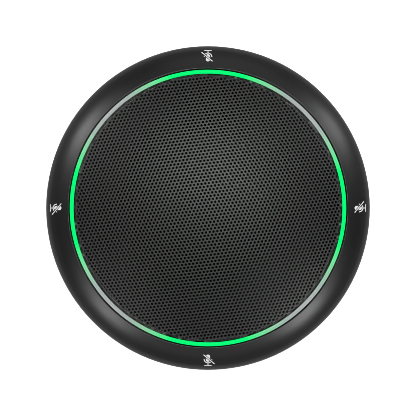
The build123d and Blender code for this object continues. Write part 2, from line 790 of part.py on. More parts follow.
# Countersunk screws that hold the bezel down on the frame.
with BuildPart() as bezel_screws:
    with Locations(Plane.XY.offset(deck_bottom_z)):
        with PolarLocations(bezel_screw_circle_radius, screw_count, start_angle=diagonal):
            Cone(
                bezel_screw_head_radius,
                small_screw_radius,
                bezel_screw_head_height,
                align=(Align.CENTER, Align.CENTER, Align.MIN),
            )
            Cylinder(
                small_screw_radius,
                deck_thickness + bezel_pilot_depth - assembly_clearance,
                align=(Align.CENTER, Align.CENTER, Align.MIN),
            )
    with BuildSketch(Plane.XY.offset(deck_bottom_z)):
        with PolarLocations(bezel_screw_circle_radius, screw_count, start_angle=diagonal):
            RegularPolygon(small_screw_radius, 6)
    extrude(amount=bezel_screw_head_height / 2, mode=Mode.SUBTRACT)
bezel_screws.part.label = "bezel_screws"
export_step(bezel_screws.part, "parts/bezel_screws.step")

# Touch pads: thin foils on the underside of the bezel's skin, one under each mute mark,
# and the spring contact on the light ring's board that feeds each one.
pad_top_inset = bezel_wall + glue_line
pad_bottom_inset = pad_top_inset + touch_pad_sheet


def skin_z(radius, inset):
    """Height of the surface that lies inset below the bezel's broad shoulder, at a radius."""
    return shoulder_centre[1] + sqrt((shoulder_radius - inset) ** 2 - (radius - shoulder_centre[0]) ** 2)


def pad_point(radius, inset):
    return (radius, skin_z(radius, inset))


pad_inner = ring_outer_radius + guide_flange_outer + touch_pad_gap
pad_outer = pad_inner + touch_pad_width
pad_middle = (pad_inner + pad_outer) / 2
touch_places = (("front", -90), ("right", 0), ("rear", 90), ("left", 180))
for name, angle in touch_places:
    with BuildPart() as touch_pad:
        with BuildSketch(radial_plane(angle - touch_pad_angle / 2)):
            with BuildLine():
                pad_top = ThreePointArc(
                    pad_point(pad_inner, pad_top_inset),
                    pad_point(pad_middle, pad_top_inset),
                    pad_point(pad_outer, pad_top_inset),
                )
                pad_bottom = ThreePointArc(
                    pad_point(pad_inner, pad_bottom_inset),
                    pad_point(pad_middle, pad_bottom_inset),
                    pad_point(pad_outer, pad_bottom_inset),
                )
                Line(pad_top @ 0, pad_bottom @ 0)
                Line(pad_top @ 1, pad_bottom @ 1)
            make_face()
        revolve(axis=Axis.Z, revolution_arc=touch_pad_angle)
    touch_pad.part.label = f"touch_pad_{name}"
    export_step(touch_pad.part, f"parts/touch_pad_{name}.step")

contact_inner = pad_inner - contact_sheet
contact_outer = pad_inner + contact_reach
contact_top_z = skin_z(contact_outer, pad_bottom_inset)
with BuildPart() as touch_contacts:
    for name, angle in touch_places:
        with BuildSketch(radial_plane(angle)):
            with BuildLine():
                Polyline(
                    (contact_outer, led_board_top_z),
                    (contact_outer, led_board_top_z + contact_sheet),
                    (contact_inner + contact_sheet, led_board_top_z + contact_sheet),
                    (contact_inner + contact_sheet, contact_top_z - contact_sheet),
                    (contact_outer, contact_top_z - contact_sheet),
                    (contact_outer, contact_top_z),
                    (contact_inner, contact_top_z),
                    (contact_inner, led_board_top_z),
                    close=True,
                )
            make_face()
        extrude(amount=contact_width / 2, both=True)
touch_contacts.part.label = "touch_contacts"
export_step(touch_contacts.part, "parts/touch_contacts.step")

# ---------------------------------------------------------------- light ring
# Translucent guide: a flange held down by the bezel, and a crowned head that shows as the ring.
with BuildPart() as light_guide:
    with BuildSketch(Plane.XZ):
        with BuildLine():
            crown = ThreePointArc(
                (ring_outer_radius, ring_top_z - ring_crown),
                (ring_mid_radius, ring_top_z),
                (ring_inner_radius, ring_top_z - ring_crown),
            )
            Polyline(
                crown @ 1,
                (ring_inner_radius, guide_flange_top_z),
                (ring_inner_radius - guide_flange_inner, guide_flange_top_z),
                (ring_inner_radius - guide_flange_inner, guide_flange_bottom_z),
                (ring_outer_radius + guide_flange_outer, guide_flange_bottom_z),
                (ring_outer_radius + guide_flange_outer, guide_flange_top_z),
                (ring_outer_radius, guide_flange_top_z),
                crown @ 0,
            )
        make_face()
    revolve(axis=Axis.Z)
light_guide.part.label = "light_guide"
export_step(light_guide.part, "parts/light_guide.step")

# White spacer with a cell over each LED.
with BuildPart() as led_reflector:
    with BuildSketch(Plane.XY.offset(led_board_top_z)):
        Circle(ring_outer_radius + guide_flange_outer)
        Circle(ring_inner_radius - guide_flange_inner, mode=Mode.SUBTRACT)
        with PolarLocations(ring_mid_radius, led_count):
            RectangleRounded(led_cell_depth, led_cell_length, led_cell_corner, mode=Mode.SUBTRACT)
    extrude(amount=guide_flange_bottom_z - led_board_top_z)
led_reflector.part.label = "led_reflector"
export_step(led_reflector.part, "parts/led_reflector.step")

with BuildPart() as led_ring_board:
    with BuildSketch(Plane.XY.offset(deck_top_z)):
        Circle(ring_outer_radius + led_board_outer)
        Circle(ring_inner_radius - led_board_inner, mode=Mode.SUBTRACT)
        with PolarLocations(bezel_screw_circle_radius, screw_count, start_angle=diagonal):
            Circle(bezel_boss_radius + assembly_clearance, mode=Mode.SUBTRACT)
    extrude(amount=led_board_height)
led_ring_board.part.label = "led_ring_board"
export_step(led_ring_board.part, "parts/led_ring_board.step")

with BuildPart() as led_packages:
    with BuildSketch(Plane.XY.offset(led_board_top_z)):
        with PolarLocations(ring_mid_radius, led_count):
            Rectangle(led_depth, led_length)
    extrude(amount=led_height)
led_packages.part.label = "led_packages"
export_step(led_packages.part, "parts/led_packages.step")

# Flat cable from the underside of the light ring's board, through the deck, down to its connector.
led_connector_radius = board_radius - led_connector_depth / 2 - assembly_clearance
led_connector_top_z = board_top_z + led_connector_height
with BuildPart() as led_cable:
    with BuildLine(radial_plane(led_cable_angle)):
        cable_path = FilletPolyline(
            (ring_mid_radius, deck_top_z),
            (ring_mid_radius, led_cable_level_z),
            (led_connector_radius, led_cable_level_z),
            (led_connector_radius, led_connector_top_z),
            radius=led_cable_bend,
        )
    with BuildSketch(Plane(cable_path @ 0, x_dir=radial_plane(led_cable_angle).x_dir, z_dir=(0, 0, -1))):
        Rectangle(led_cable_sheet, led_cable_width)
    sweep(path=cable_path)
led_cable.part.label = "led_cable"
export_step(led_cable.part, "parts/led_cable.step")

led_connector = chip(
    led_connector_radius,
    led_cable_angle,
    (led_connector_depth, led_connector_length, led_connector_height),
    board_top_z,
)
led_connector.part.label = "led_connector"
export_step(led_connector.part, "parts/led_connector.step")


# ---------------------------------------------------------------- grille and cloth
def dome_point(radius, inset):
    return (radius, dome_z(radius, inset))


def bend_point(radius, slope):
    return (bend_centre_r + radius * sin(slope), bend_centre_z + radius * cos(slope))


# Domed sheet whose rim is bent down into a short skirt that stands on the light guide's flange.
bend_slope = acos((bend_centre_z - dome_centre_z) / (dome_radius - grille_bend_radius))
bend_middle = (bend_slope + radians(90)) / 2
with BuildPart() as grille:
    with BuildSketch(Plane.XZ):
        with BuildLine():
            outside = ThreePointArc(
                dome_point(0, 0), dome_point(bend_centre_r / 2, 0), bend_point(grille_bend_radius, bend_slope)
            )
            outer_bend = ThreePointArc(
                outside @ 1,
                bend_point(grille_bend_radius, bend_middle),
                bend_point(grille_bend_radius, radians(90)),
            )
            inside = ThreePointArc(
                dome_point(0, grille_thickness),
                dome_point(bend_centre_r / 2, grille_thickness),
                bend_point(grille_bend_inner_radius, bend_slope),
            )
            inner_bend = ThreePointArc(
                inside @ 1,
                bend_point(grille_bend_inner_radius, bend_middle),
                bend_point(grille_bend_inner_radius, radians(90)),
            )
            Polyline(
                outer_bend @ 1,
                (grille_radius, guide_flange_top_z),
                (grille_radius - grille_thickness, guide_flange_top_z),
                inner_bend @ 1,
            )
            Line(outside @ 0, inside @ 0)
        make_face()
    revolve(axis=Axis.Z)
grille.part.label = "grille"
export_step(grille.part, "parts/grille.step")

# Acoustic cloth, bonded under the grille and resting on the frame's outer wall.
with BuildPart() as acoustic_cloth:
    with BuildSketch(Plane.XZ):
        with BuildLine():
            cloth_top = ThreePointArc(
                dome_point(0, cloth_top_inset),
                dome_point(grille_wall_outer / 2, cloth_top_inset),
                dome_point(grille_wall_outer, cloth_top_inset),
            )
            cloth_bottom = ThreePointArc(
                dome_point(0, cloth_bottom_inset),
                dome_point(grille_wall_outer / 2, cloth_bottom_inset),
                dome_point(grille_wall_outer, cloth_bottom_inset),
            )
            Line(cloth_top @ 0, cloth_bottom @ 0)
            Line(cloth_top @ 1, cloth_bottom @ 1)
        make_face()
    revolve(axis=Axis.Z)
acoustic_cloth.part.label = "acoustic_cloth"
export_step(acoustic_cloth.part, "parts/acoustic_cloth.step")

# ---------------------------------------------------------------- loudspeaker, fixed pieces
with BuildPart() as speaker_gasket:
    with BuildSketch(Plane.XY.offset(seat_z)):
        Circle(speaker_flange_radius)
        Circle(ledge_inner_radius, mode=Mode.SUBTRACT)
        with PolarLocations(speaker_screw_circle_radius, screw_count, start_angle=diagonal):
            Circle(small_screw_radius + running_clearance, mode=Mode.SUBTRACT)
    extrude(amount=speaker_gasket_height)
speaker_gasket.part.label = "speaker_gasket"
export_step(speaker_gasket.part, "parts/speaker_gasket.step")

speaker_screws = pan_screws(
    speaker_screw_circle_radius,
    screw_count,
    diagonal,
    flange_top_z + small_screw_head_height,
    (speaker_screw_head_radius, small_screw_head_height),
    small_screw_radius,
    speaker_flange_height + speaker_gasket_height + speaker_pilot_depth - assembly_clearance,
    upwards=False,
)
speaker_screws.part.label = "speaker_screws"
export_step(speaker_screws.part, "parts/speaker_screws.step")

# Pressed basket: flange, conical wall with vents, a shelf for the spider and a seat on the motor.
shelf_inner = magnet_radius - running_clearance
shelf_outer = shelf_inner + spider_shelf_width
basket_hub_inner = winding_radius + coil_air_gap + basket_hub_margin
with BuildPart() as speaker_basket:
    with BuildSketch(Plane.XZ):
        with BuildLine():
            Polyline(
                (speaker_opening_radius, flange_top_z),
                (speaker_flange_radius, flange_top_z),
                (speaker_flange_radius, flange_bottom_z),
                (basket_wall_radius, flange_bottom_z),
                (shelf_outer + basket_sheet, spider_z - basket_sheet),
                (shelf_inner + basket_sheet, spider_z - basket_sheet),
                (shelf_inner + basket_sheet, top_plate_z),
                (basket_hub_inner, top_plate_z),
                (basket_hub_inner, top_plate_z + basket_sheet),
                (shelf_inner, top_plate_z + basket_sheet),
                (shelf_inner, spider_z),
                (shelf_outer, spider_z),
                (speaker_opening_radius, flange_bottom_z),
                close=True,
            )
        make_face()
    revolve(axis=Axis.Z)
    vent_mid_radius = (shelf_outer + basket_wall_radius) / 2
    vent_bottom_z = spider_z + basket_sheet
    vent_top_z = flange_bottom_z - basket_sheet
    with BuildSketch(Plane.XY.offset(vent_bottom_z)):
        with PolarLocations(vent_mid_radius, basket_vent_count, start_angle=basket_vent_angle):
            Rectangle(basket_wall_radius - shelf_inner, basket_vent_width)
    extrude(amount=vent_top_z - vent_bottom_z, mode=Mode.SUBTRACT)
    with BuildSketch(Plane.XY.offset(flange_bottom_z)):
        with PolarLocations(speaker_screw_circle_radius, screw_count, start_angle=diagonal):
            Circle(small_screw_radius + running_clearance)
    extrude(amount=speaker_flange_height, mode=Mode.SUBTRACT)
speaker_basket.part.label = "speaker_basket"
export_step(speaker_basket.part, "parts/speaker_basket.step")

pole_radius = coil_inner_radius - coil_air_gap
gap_outer_radius = winding_radius + coil_air_gap
speaker_top_plate = ring(gap_outer_radius, top_plate_radius, magnet_top_z, top_plate_z)
speaker_top_plate.part.label = "speaker_top_plate"
export_step(speaker_top_plate.part, "parts/speaker_top_plate.step")

speaker_magnet = ring(gap_outer_radius + magnet_setback, magnet_radius, yoke_top_z, magnet_top_z)
speaker_magnet.part.label = "speaker_magnet"
export_step(speaker_magnet.part, "parts/speaker_magnet.step")

speaker_yoke = turned(
    [
        (yoke_vent_radius, yoke_bottom_z),
        (top_plate_radius, yoke_bottom_z),
        (top_plate_radius, yoke_top_z),
        (pole_radius, yoke_top_z),
        (pole_radius, top_plate_z),
        (yoke_vent_radius, top_plate_z),
    ]
)
speaker_yoke.part.label = "speaker_yoke"
export_step(speaker_yoke.part, "parts/speaker_yoke.step")

# Terminal strip under the spider's shelf, two leads, and their connector on the board.
front_angle = -90.0
strip_inner = shelf_inner + basket_sheet + assembly_clearance
strip_top_z = spider_z - basket_sheet
lead_start_radius = strip_inner + terminal_strip_reach - lead_inset
speaker_connector_radius = board_hole_radius + speaker_connector_depth / 2 + speaker_connector_margin
speaker_connector_top_z = board_top_z + speaker_connector_height
speaker_terminals = chip(
    strip_inner + terminal_strip_reach / 2,
    front_angle,
    (terminal_strip_reach, terminal_strip_length, terminal_strip_sheet),
    strip_top_z - terminal_strip_sheet,
)
speaker_terminals.part.label = "speaker_terminals"
export_step(speaker_terminals.part, "parts/speaker_terminals.step")

lead_top_z = strip_top_z - terminal_strip_sheet
lead_jog = (lead_top_z - speaker_connector_top_z) / 3
with BuildPart() as speaker_leads:
    for side_offset in (-lead_spacing / 2, lead_spacing / 2):
        lead_plane = Plane(origin=(side_offset, 0, 0), x_dir=(0, -1, 0), z_dir=(-1, 0, 0))
        with BuildLine(lead_plane):
            lead_path = FilletPolyline(
                (lead_start_radius, lead_top_z),
                (lead_start_radius, lead_top_z - lead_jog),
                (speaker_connector_radius, speaker_connector_top_z + lead_jog),
                (speaker_connector_radius, speaker_connector_top_z),
                radius=lead_bend,
            )
        with BuildSketch(Plane(lead_path @ 0, x_dir=(1, 0, 0), z_dir=(0, 0, -1))):
            Circle(lead_radius)
        sweep(path=lead_path)
speaker_leads.part.label = "speaker_leads"
export_step(speaker_leads.part, "parts/speaker_leads.step")

speaker_connector = chip(
    speaker_connector_radius,
    front_angle,
    (speaker_connector_depth, speaker_connector_length, speaker_connector_height),
    board_top_z,
)
speaker_connector.part.label = "speaker_connector"
export_step(speaker_connector.part, "parts/speaker_connector.step")

# ---------------------------------------------------------------- loudspeaker, moving pieces
# The half roll that carries the cone's rim, and the corrugated spider that centres the coil.
roll_inner = speaker_opening_radius + assembly_clearance - 2 * surround_roll_radius
roll_outer = speaker_opening_radius + assembly_clearance
roll_middle = (roll_inner + roll_outer) / 2
with BuildPart() as speaker_surround:
    with BuildSketch(Plane.XZ):
        with BuildLine():
            roll_under = ThreePointArc(
                (roll_inner, flange_top_z),
                (roll_middle, flange_top_z + surround_roll_radius),
                (roll_outer, flange_top_z),
            )
            roll_over = ThreePointArc(
                (roll_inner - surround_sheet, flange_top_z + surround_sheet),
                (roll_middle, flange_top_z + surround_roll_radius + surround_sheet),
                (roll_outer + surround_sheet, flange_top_z + surround_sheet),
            )
            Polyline(
                roll_under @ 0,
                (roll_inner - surround_lip_width, flange_top_z),
                (roll_inner - surround_lip_width, flange_top_z + surround_sheet),
                roll_over @ 0,
            )
            Polyline(
                roll_under @ 1,
                (roll_outer + surround_lip_width, flange_top_z),
                (roll_outer + surround_lip_width, flange_top_z + surround_sheet),
                roll_over @ 1,
            )
        make_face()
    revolve(axis=Axis.Z)
speaker_surround.part.label = "speaker_surround"
export_step(speaker_surround.part, "parts/speaker_surround.step")

spider_inner = coil_outer_radius + glue_line
spider_roll_start = spider_inner + spider_lip_width
spider_roll_end = shelf_inner
spider_outer = shelf_outer - running_clearance
half_wave = (spider_roll_end - spider_roll_start) / spider_half_waves


def spider_edge(lift):
    """Corrugated edge of the spider's section, as arcs that rise and fall in turn, each lifted alike."""
    for wave in range(spider_half_waves):
        start = spider_roll_start + wave * half_wave
        swing = spider_wave_height if wave % 2 == 0 else -spider_wave_height
        yield (
            (start, spider_z + lift),
            (start + half_wave / 2, spider_z + lift + swing),
            (start + half_wave, spider_z + lift),
        )


with BuildPart() as spider:
    with BuildSketch(Plane.XZ):
        with BuildLine():
            for under_start, under_middle, under_end in spider_edge(0):
                ThreePointArc(under_start, under_middle, under_end)
            for over_start, over_middle, over_end in spider_edge(spider_sheet):
                ThreePointArc(over_start, over_middle, over_end)
            Polyline(
                (spider_roll_start, spider_z),
                (spider_inner, spider_z),
                (spider_inner, spider_z + spider_sheet),
                (spider_roll_start, spider_z + spider_sheet),
            )
            Polyline(
                (spider_roll_end, spider_z),
                (spider_outer, spider_z),
                (spider_outer, spider_z + spider_sheet),
                (spider_roll_end, spider_z + spider_sheet),
            )
        make_face()
    revolve(axis=Axis.Z)
spider.part.label = "spider"
export_step(spider.part, "parts/spider.step")

# Paper cone with a flat rim under the surround's inner lip.
neck_radius = coil_outer_radius + glue_line
neck_z = spider_z + cone_neck_height
rim_inner = roll_inner - surround_lip_width
speaker_cone = turned(
    [
        (roll_inner, flange_top_z),
        (roll_inner, flange_top_z - cone_sheet),
        (rim_inner, flange_top_z - cone_sheet),
        (neck_radius, neck_z),
        (neck_radius, neck_z + cone_neck_sheet),
        (rim_inner, flange_top_z),
    ]
)
speaker_cone.part.label = "speaker_cone"
export_step(speaker_cone.part, "parts/speaker_cone.step")

cone_slope = (flange_top_z - neck_z - cone_neck_sheet) / (rim_inner - neck_radius)
cap_edge_z = neck_z + cone_neck_sheet + (dust_cap_radius - neck_radius) * cone_slope
cap_sphere_radius = (dust_cap_radius**2 + dust_cap_rise**2) / (2 * dust_cap_rise)
cap_inner_radius = sqrt((cap_sphere_radius - dust_cap_sheet) ** 2 - (cap_sphere_radius - dust_cap_rise) ** 2)


def cap_point(radius, inset):
    """Point on the dust cap's outside, or on its inner offset, at a radius."""
    drop = cap_sphere_radius - dust_cap_rise
    return (radius, cap_edge_z - drop + sqrt((cap_sphere_radius - inset) ** 2 - radius**2))


with BuildPart() as dust_cap:
    with BuildSketch(Plane.XZ):
        with BuildLine():
            cap_over = ThreePointArc(
                cap_point(dust_cap_radius, 0), cap_point(dust_cap_radius / 2, 0), cap_point(0, 0)
            )
            cap_under = ThreePointArc(
                cap_point(cap_inner_radius, dust_cap_sheet),
                cap_point(cap_inner_radius / 2, dust_cap_sheet),
                cap_point(0, dust_cap_sheet),
            )
            Line(cap_over @ 0, cap_under @ 0)
            Line(cap_over @ 1, cap_under @ 1)
        make_face()
    revolve(axis=Axis.Z)
dust_cap.part.label = "dust_cap"
export_step(dust_cap.part, "parts/dust_cap.step")

former_bottom_z = yoke_top_z + excursion + coil_end_clearance
coil_former = ring(coil_inner_radius, coil_outer_radius, former_bottom_z, neck_z + cone_sheet)
coil_former.part.label = "coil_former"
export_step(coil_former.part, "parts/coil_former.step")

winding_middle_z = (top_plate_z + magnet_top_z) / 2
coil_winding = ring(
    coil_outer_radius,
    winding_radius,
    winding_middle_z - coil_winding_height / 2,
    winding_middle_z + coil_winding_height / 2,
)
coil_winding.part.label = "coil_winding"
export_step(coil_winding.part, "parts/coil_winding.step")

# ---------------------------------------------------------------- microphones
# Each stands on a post: a round board with the capsule on its underside, under a soft boot
# whose port opens just under the cloth. A ribbon runs down inside the post to the main board.
mic_connector_radius = mic_radius + mic_ribbon_offset
mic_connector_top_z = board_top_z + mic_connector_height
mic_places = (("rear_right", 45), ("rear_left", 135), ("front_left", 225), ("front_right", 315))
for name, angle in mic_places:
    with BuildPart() as mic_board:
        with BuildSketch(Plane.XY.offset(mic_seat_z)):
            with PolarLocations(mic_radius, 1, start_angle=angle):
                Circle(mic_post_radius)
                Circle(mic_port_radius / 2, mode=Mode.SUBTRACT)
        extrude(amount=mic_board_height)
    mic_board.part.label = f"mic_board_{name}"
    export_step(mic_board.part, f"parts/mic_board_{name}.step")

    boot_skirt_z = mic_seat_z - mic_boot_skirt
    with BuildPart() as mic_boot:
        with BuildSketch(Plane.XY.offset(boot_skirt_z)):
            with PolarLocations(mic_radius, 1, start_angle=angle):
                Circle(mic_boot_radius)
        extrude(amount=mic_boot_top_z - boot_skirt_z)
        with BuildSketch(Plane.XY.offset(boot_skirt_z)):
            with PolarLocations(mic_radius, 1, start_angle=angle):
                Circle(mic_post_radius + running_clearance)
        extrude(amount=mic_seat_z + mic_board_height - boot_skirt_z, mode=Mode.SUBTRACT)
        with BuildSketch(Plane.XY.offset(mic_seat_z)):
            with PolarLocations(mic_radius, 1, start_angle=angle):
                Circle(mic_port_radius)
        extrude(amount=mic_boot_top_z - mic_seat_z, mode=Mode.SUBTRACT)
    mic_boot.part.label = f"mic_boot_{name}"
    export_step(mic_boot.part, f"parts/mic_boot_{name}.step")

with BuildPart() as mic_capsules:
    with BuildSketch(Plane.XY.offset(mic_seat_z)):
        with PolarLocations(mic_radius, mic_count, start_angle=diagonal):
            Rectangle(mic_capsule_width, mic_capsule_length)
    extrude(amount=-mic_capsule_height)
mic_capsules.part.label = "mic_capsules"
export_step(mic_capsules.part, "parts/mic_capsules.step")

with BuildPart() as mic_ribbons:
    with BuildSketch(Plane.XY.offset(mic_connector_top_z)):
        with PolarLocations(mic_connector_radius, mic_count, start_angle=diagonal):
            Rectangle(mic_ribbon_sheet, mic_ribbon_width)
    extrude(amount=mic_seat_z - mic_connector_top_z)
mic_ribbons.part.label = "mic_ribbons"
export_step(mic_ribbons.part, "parts/mic_ribbons.step")

with BuildPart() as mic_connectors:
    with BuildSketch(Plane.XY.offset(board_top_z)):
        with PolarLocations(mic_connector_radius, mic_count, start_angle=diagonal):
            Rectangle(mic_connector_depth, mic_connector_length)
    extrude(amount=mic_connector_height)
mic_connectors.part.label = "mic_connectors"
export_step(mic_connectors.part, "parts/mic_connectors.step")
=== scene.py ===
from math import acos, cos, hypot, pi, radians, sin, sqrt

import bmesh
import bpy
from mathutils import Matrix, Vector
from mathutils.bvhtree import BVHTree


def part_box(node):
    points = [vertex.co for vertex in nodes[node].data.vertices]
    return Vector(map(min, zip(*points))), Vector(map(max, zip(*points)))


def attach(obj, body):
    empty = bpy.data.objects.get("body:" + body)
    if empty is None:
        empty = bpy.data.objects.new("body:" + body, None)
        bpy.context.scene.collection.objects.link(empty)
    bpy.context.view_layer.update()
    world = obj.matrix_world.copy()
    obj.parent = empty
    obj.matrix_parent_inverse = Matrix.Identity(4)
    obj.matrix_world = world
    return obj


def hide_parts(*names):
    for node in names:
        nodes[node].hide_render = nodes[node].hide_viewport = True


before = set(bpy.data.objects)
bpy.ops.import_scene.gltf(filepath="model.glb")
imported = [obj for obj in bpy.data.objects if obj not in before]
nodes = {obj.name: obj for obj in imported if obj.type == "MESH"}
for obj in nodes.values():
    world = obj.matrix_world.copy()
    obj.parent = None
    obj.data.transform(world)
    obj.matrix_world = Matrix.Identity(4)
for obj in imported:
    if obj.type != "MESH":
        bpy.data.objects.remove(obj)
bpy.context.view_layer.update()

# ---------------------------------------------------------------- lower casing
# A shallow bowl moulded in black ABS, spark-eroded to a fine even grain so that it hides scratches.
# The foot ring, the rating plate, the reset hole and the cable bay are all in it.


def put(tree, kind, inputs=None, **settings):
    """Adds a shader node. Each input is a plain value or the output of another node."""
    made = tree.nodes.new("ShaderNode" + kind)
    for name, value in settings.items():
        setattr(made, name, value)
    for name, value in (inputs or {}).items():
        if isinstance(value, bpy.types.NodeSocket):
            tree.links.new(value, made.inputs[name])
        else:
            made.inputs[name].default_value = value
    return made


def calc(tree, operation, first, second=0.0):
    """One step of arithmetic in a shader."""
    return put(tree, "Math", {0: first, 1: second}, operation=operation).outputs[0]


def ramp(tree, factor, stops):
    """Colours along a factor, from (position, colour) stops."""
    made = put(tree, "ValToRGB", {"Fac": factor})
    band = made.color_ramp
    while len(band.elements) < len(stops):
        band.elements.new(0.5)
    for element, (position, colour) in zip(band.elements, stops):
        element.position = position
        element.color = (*colour, 1.0)
    return made.outputs["Color"]


def pattern(name):
    """Starts a group that gives a tone, a polish and a height over a surface, at so many grains a metre."""
    tree = bpy.data.node_groups.new(name, "ShaderNodeTree")
    tree.interface.new_socket("Vector", in_out="INPUT", socket_type="NodeSocketVector")
    tree.interface.new_socket("Grain", in_out="INPUT", socket_type="NodeSocketFloat")
    for output in ("Tone", "Polish", "Height"):
        tree.interface.new_socket(output, in_out="OUTPUT", socket_type="NodeSocketFloat")
    given = tree.nodes.new("NodeGroupInput").outputs
    return tree, given["Vector"], given["Grain"]


def give(tree, **outputs):
    """Closes a pattern by linking what it gives out."""
    end = tree.nodes.new("NodeGroupOutput")
    for name, value in outputs.items():
        tree.links.new(value, end.inputs[name])
    return tree


def finish(name, look, grain, tones, rough, depth, metallic=0.0, **sockets):
    """Makes a material in one of the patterns, with tones and rough from low to high, in metres."""
    made = bpy.data.materials.new(name)
    made.use_nodes = True
    tree = made.node_tree
    shader = tree.nodes["Principled BSDF"]
    place = put(tree, "TexCoord").outputs["Object"]
    surface = tree.nodes.new("ShaderNodeGroup")
    surface.node_tree = look
    surface.inputs["Grain"].default_value = 1.0 / grain
    tree.links.new(place, surface.inputs["Vector"])
    colour = ramp(tree, surface.outputs["Tone"], ((0.25, tones[0]), (0.75, tones[1])))
    polish = put(
        tree, "MapRange", {"Value": surface.outputs["Polish"], "To Min": rough[0], "To Max": rough[1]}
    )
    bump = put(tree, "Bump", {"Height": surface.outputs["Height"], "Distance": depth, "Strength": 1.0})
    tree.links.new(colour, shader.inputs["Base Color"])
    tree.links.new(polish.outputs["Result"], shader.inputs["Roughness"])
    tree.links.new(bump.outputs["Normal"], shader.inputs["Normal"])
    shader.inputs["Metallic"].default_value = metallic
    for socket, value in sockets.items():
        shader.inputs[socket.replace("_", " ")].default_value = value
    return made


def coat(material, *names):
    """Gives CAD nodes a material."""
    for name in names:
        for place in nodes[name].material_slots:
            place.material = material


# Spark-eroded or lightly textured moulding: fine round grain over broad, faint patches of handling.
moulded, place, grain = pattern("moulded grain")
fine = put(moulded, "TexNoise", {"Vector": place, "Scale": grain, "Detail": 2.0}).outputs["Fac"]
pits = put(moulded, "TexVoronoi", {"Vector": place, "Scale": grain}, feature="SMOOTH_F1").outputs["Distance"]
broad = put(moulded, "TexNoise", {"Vector": place, "Scale": 60.0, "Detail": 3.0}).outputs["Fac"]
give(
    moulded,
    Tone=calc(moulded, "ADD", calc(moulded, "MULTIPLY", broad, 0.6), calc(moulded, "MULTIPLY", fine, 0.4)),
    Polish=broad,
    Height=calc(moulded, "ADD", fine, calc(moulded, "MULTIPLY", pits, 0.6)),
)

casing_black = finish(
    "spark-eroded black ABS",
    moulded,
    grain=0.00028,
    tones=((0.010, 0.010, 0.011), (0.017, 0.017, 0.018)),
    rough=(0.42, 0.56),
    depth=0.000012,
)
coat(casing_black, "bottom_housing")

# ---------------------------------------------------------------- foot ring and casing screws
# A ring of black silicone pressed into the casing's groove, which keeps the puck from sliding and
# covers the four black-passivated screws. Silicone is dusty matte, with a soft bloom.
silicone = finish(
    "black silicone",
    moulded,
    grain=0.0005,
    tones=((0.014, 0.014, 0.015), (0.028, 0.028, 0.029)),
    rough=(0.62, 0.82),
    depth=0.00001,
    Sheen_Weight=0.15,
    Sheen_Roughness=0.6,
)
coat(silicone, "foot_ring")

# Drawn or stamped metal: fine scratches that run one way, and a mottled plating.
drawn, place, grain = pattern("drawn metal")
along = put(drawn, "Mapping", {"Vector": place, "Scale": (1.0, 0.08, 1.0)}).outputs["Vector"]
scratches = put(drawn, "TexNoise", {"Vector": along, "Scale": grain, "Detail": 4.0}).outputs["Fac"]
mottle = put(drawn, "TexNoise", {"Vector": place, "Scale": 900.0, "Detail": 3.0}).outputs["Fac"]
give(drawn, Tone=mottle, Polish=scratches, Height=scratches)

screw_steel = finish(
    "black passivated steel",
    drawn,
    grain=0.00012,
    tones=((0.12, 0.12, 0.125), (0.24, 0.24, 0.245)),
    rough=(0.3, 0.45),
    depth=0.000004,
    metallic=1.0,
)
coat(screw_steel, "casing_screws", "board_screws", "bezel_screws", "speaker_screws")

# ---------------------------------------------------------------- rating plate and reset button
# A blank grey film plate in a shallow recess under the puck. The reset button is a small black
# plunger behind a pin hole, which presses the switch on the main board.
plate_film = finish(
    "printed grey film",
    drawn,
    grain=0.0002,
    tones=((0.085, 0.085, 0.09), (0.115, 0.115, 0.12)),
    rough=(0.28, 0.4),
    depth=0.000003,
)
coat(plate_film, "rating_plate")

moulded_black = finish(
    "heat-resistant black nylon",
    moulded,
    grain=0.0002,
    tones=((0.018, 0.018, 0.019), (0.034, 0.034, 0.036)),
    rough=(0.38, 0.55),
    depth=0.000006,
)
coat(moulded_black, "reset_button", "speaker_connector", "led_connector", "mic_connectors", "usb_c_tongue")

# ---------------------------------------------------------------- main board
# A round glass-fibre board: green solder mask over copper tracks, which stand a little proud.
tracks, place, grain = pattern("tracks under solder mask")
cells = put(tracks, "TexVoronoi", {"Vector": place, "Scale": grain}, distance="CHEBYCHEV").outputs["Distance"]
steps = put(tracks, "Math", {0: calc(tracks, "MULTIPLY", cells, 5.0)}, operation="FRACT").outputs[0]
lines = put(tracks, "MapRange", {"Value": steps, "From Min": 0.42, "From Max": 0.5}).outputs["Result"]
weave = put(tracks, "TexNoise", {"Vector": place, "Scale": 2500.0, "Detail": 2.0}).outputs["Fac"]
give(tracks, Tone=lines, Polish=weave, Height=lines)

board_mask = finish(
    "green solder mask",
    tracks,
    grain=0.006,
    tones=((0.012, 0.075, 0.035), (0.035, 0.15, 0.065)),
    rough=(0.2, 0.34),
    depth=0.00003,
)
coat(board_mask, "main_board", *(name for name in nodes if name.startswith("mic_board")))

chip_epoxy = finish(
    "moulded epoxy",
    moulded,
    grain=0.00015,
    tones=((0.016, 0.016, 0.017), (0.03, 0.03, 0.031)),
    rough=(0.45, 0.6),
    depth=0.000005,
)
coat(chip_epoxy, "audio_codec_chip", "amplifier_chip", "reset_switch")

shield_tin = finish(
    "tinned steel shield",
    drawn,
    grain=0.0003,
    tones=((0.52, 0.52, 0.5), (0.68, 0.68, 0.66)),
    rough=(0.25, 0.42),
    depth=0.000006,
    metallic=1.0,
)
coat(shield_tin, "processor_shield", "touch_contacts")

inductor_powder = finish(
    "pressed ferrite powder",
    moulded,
    grain=0.0003,
    tones=((0.07, 0.07, 0.073), (0.13, 0.13, 0.135)),
    rough=(0.55, 0.75),
    depth=0.00002,
)
coat(inductor_powder, "amp_inductors")

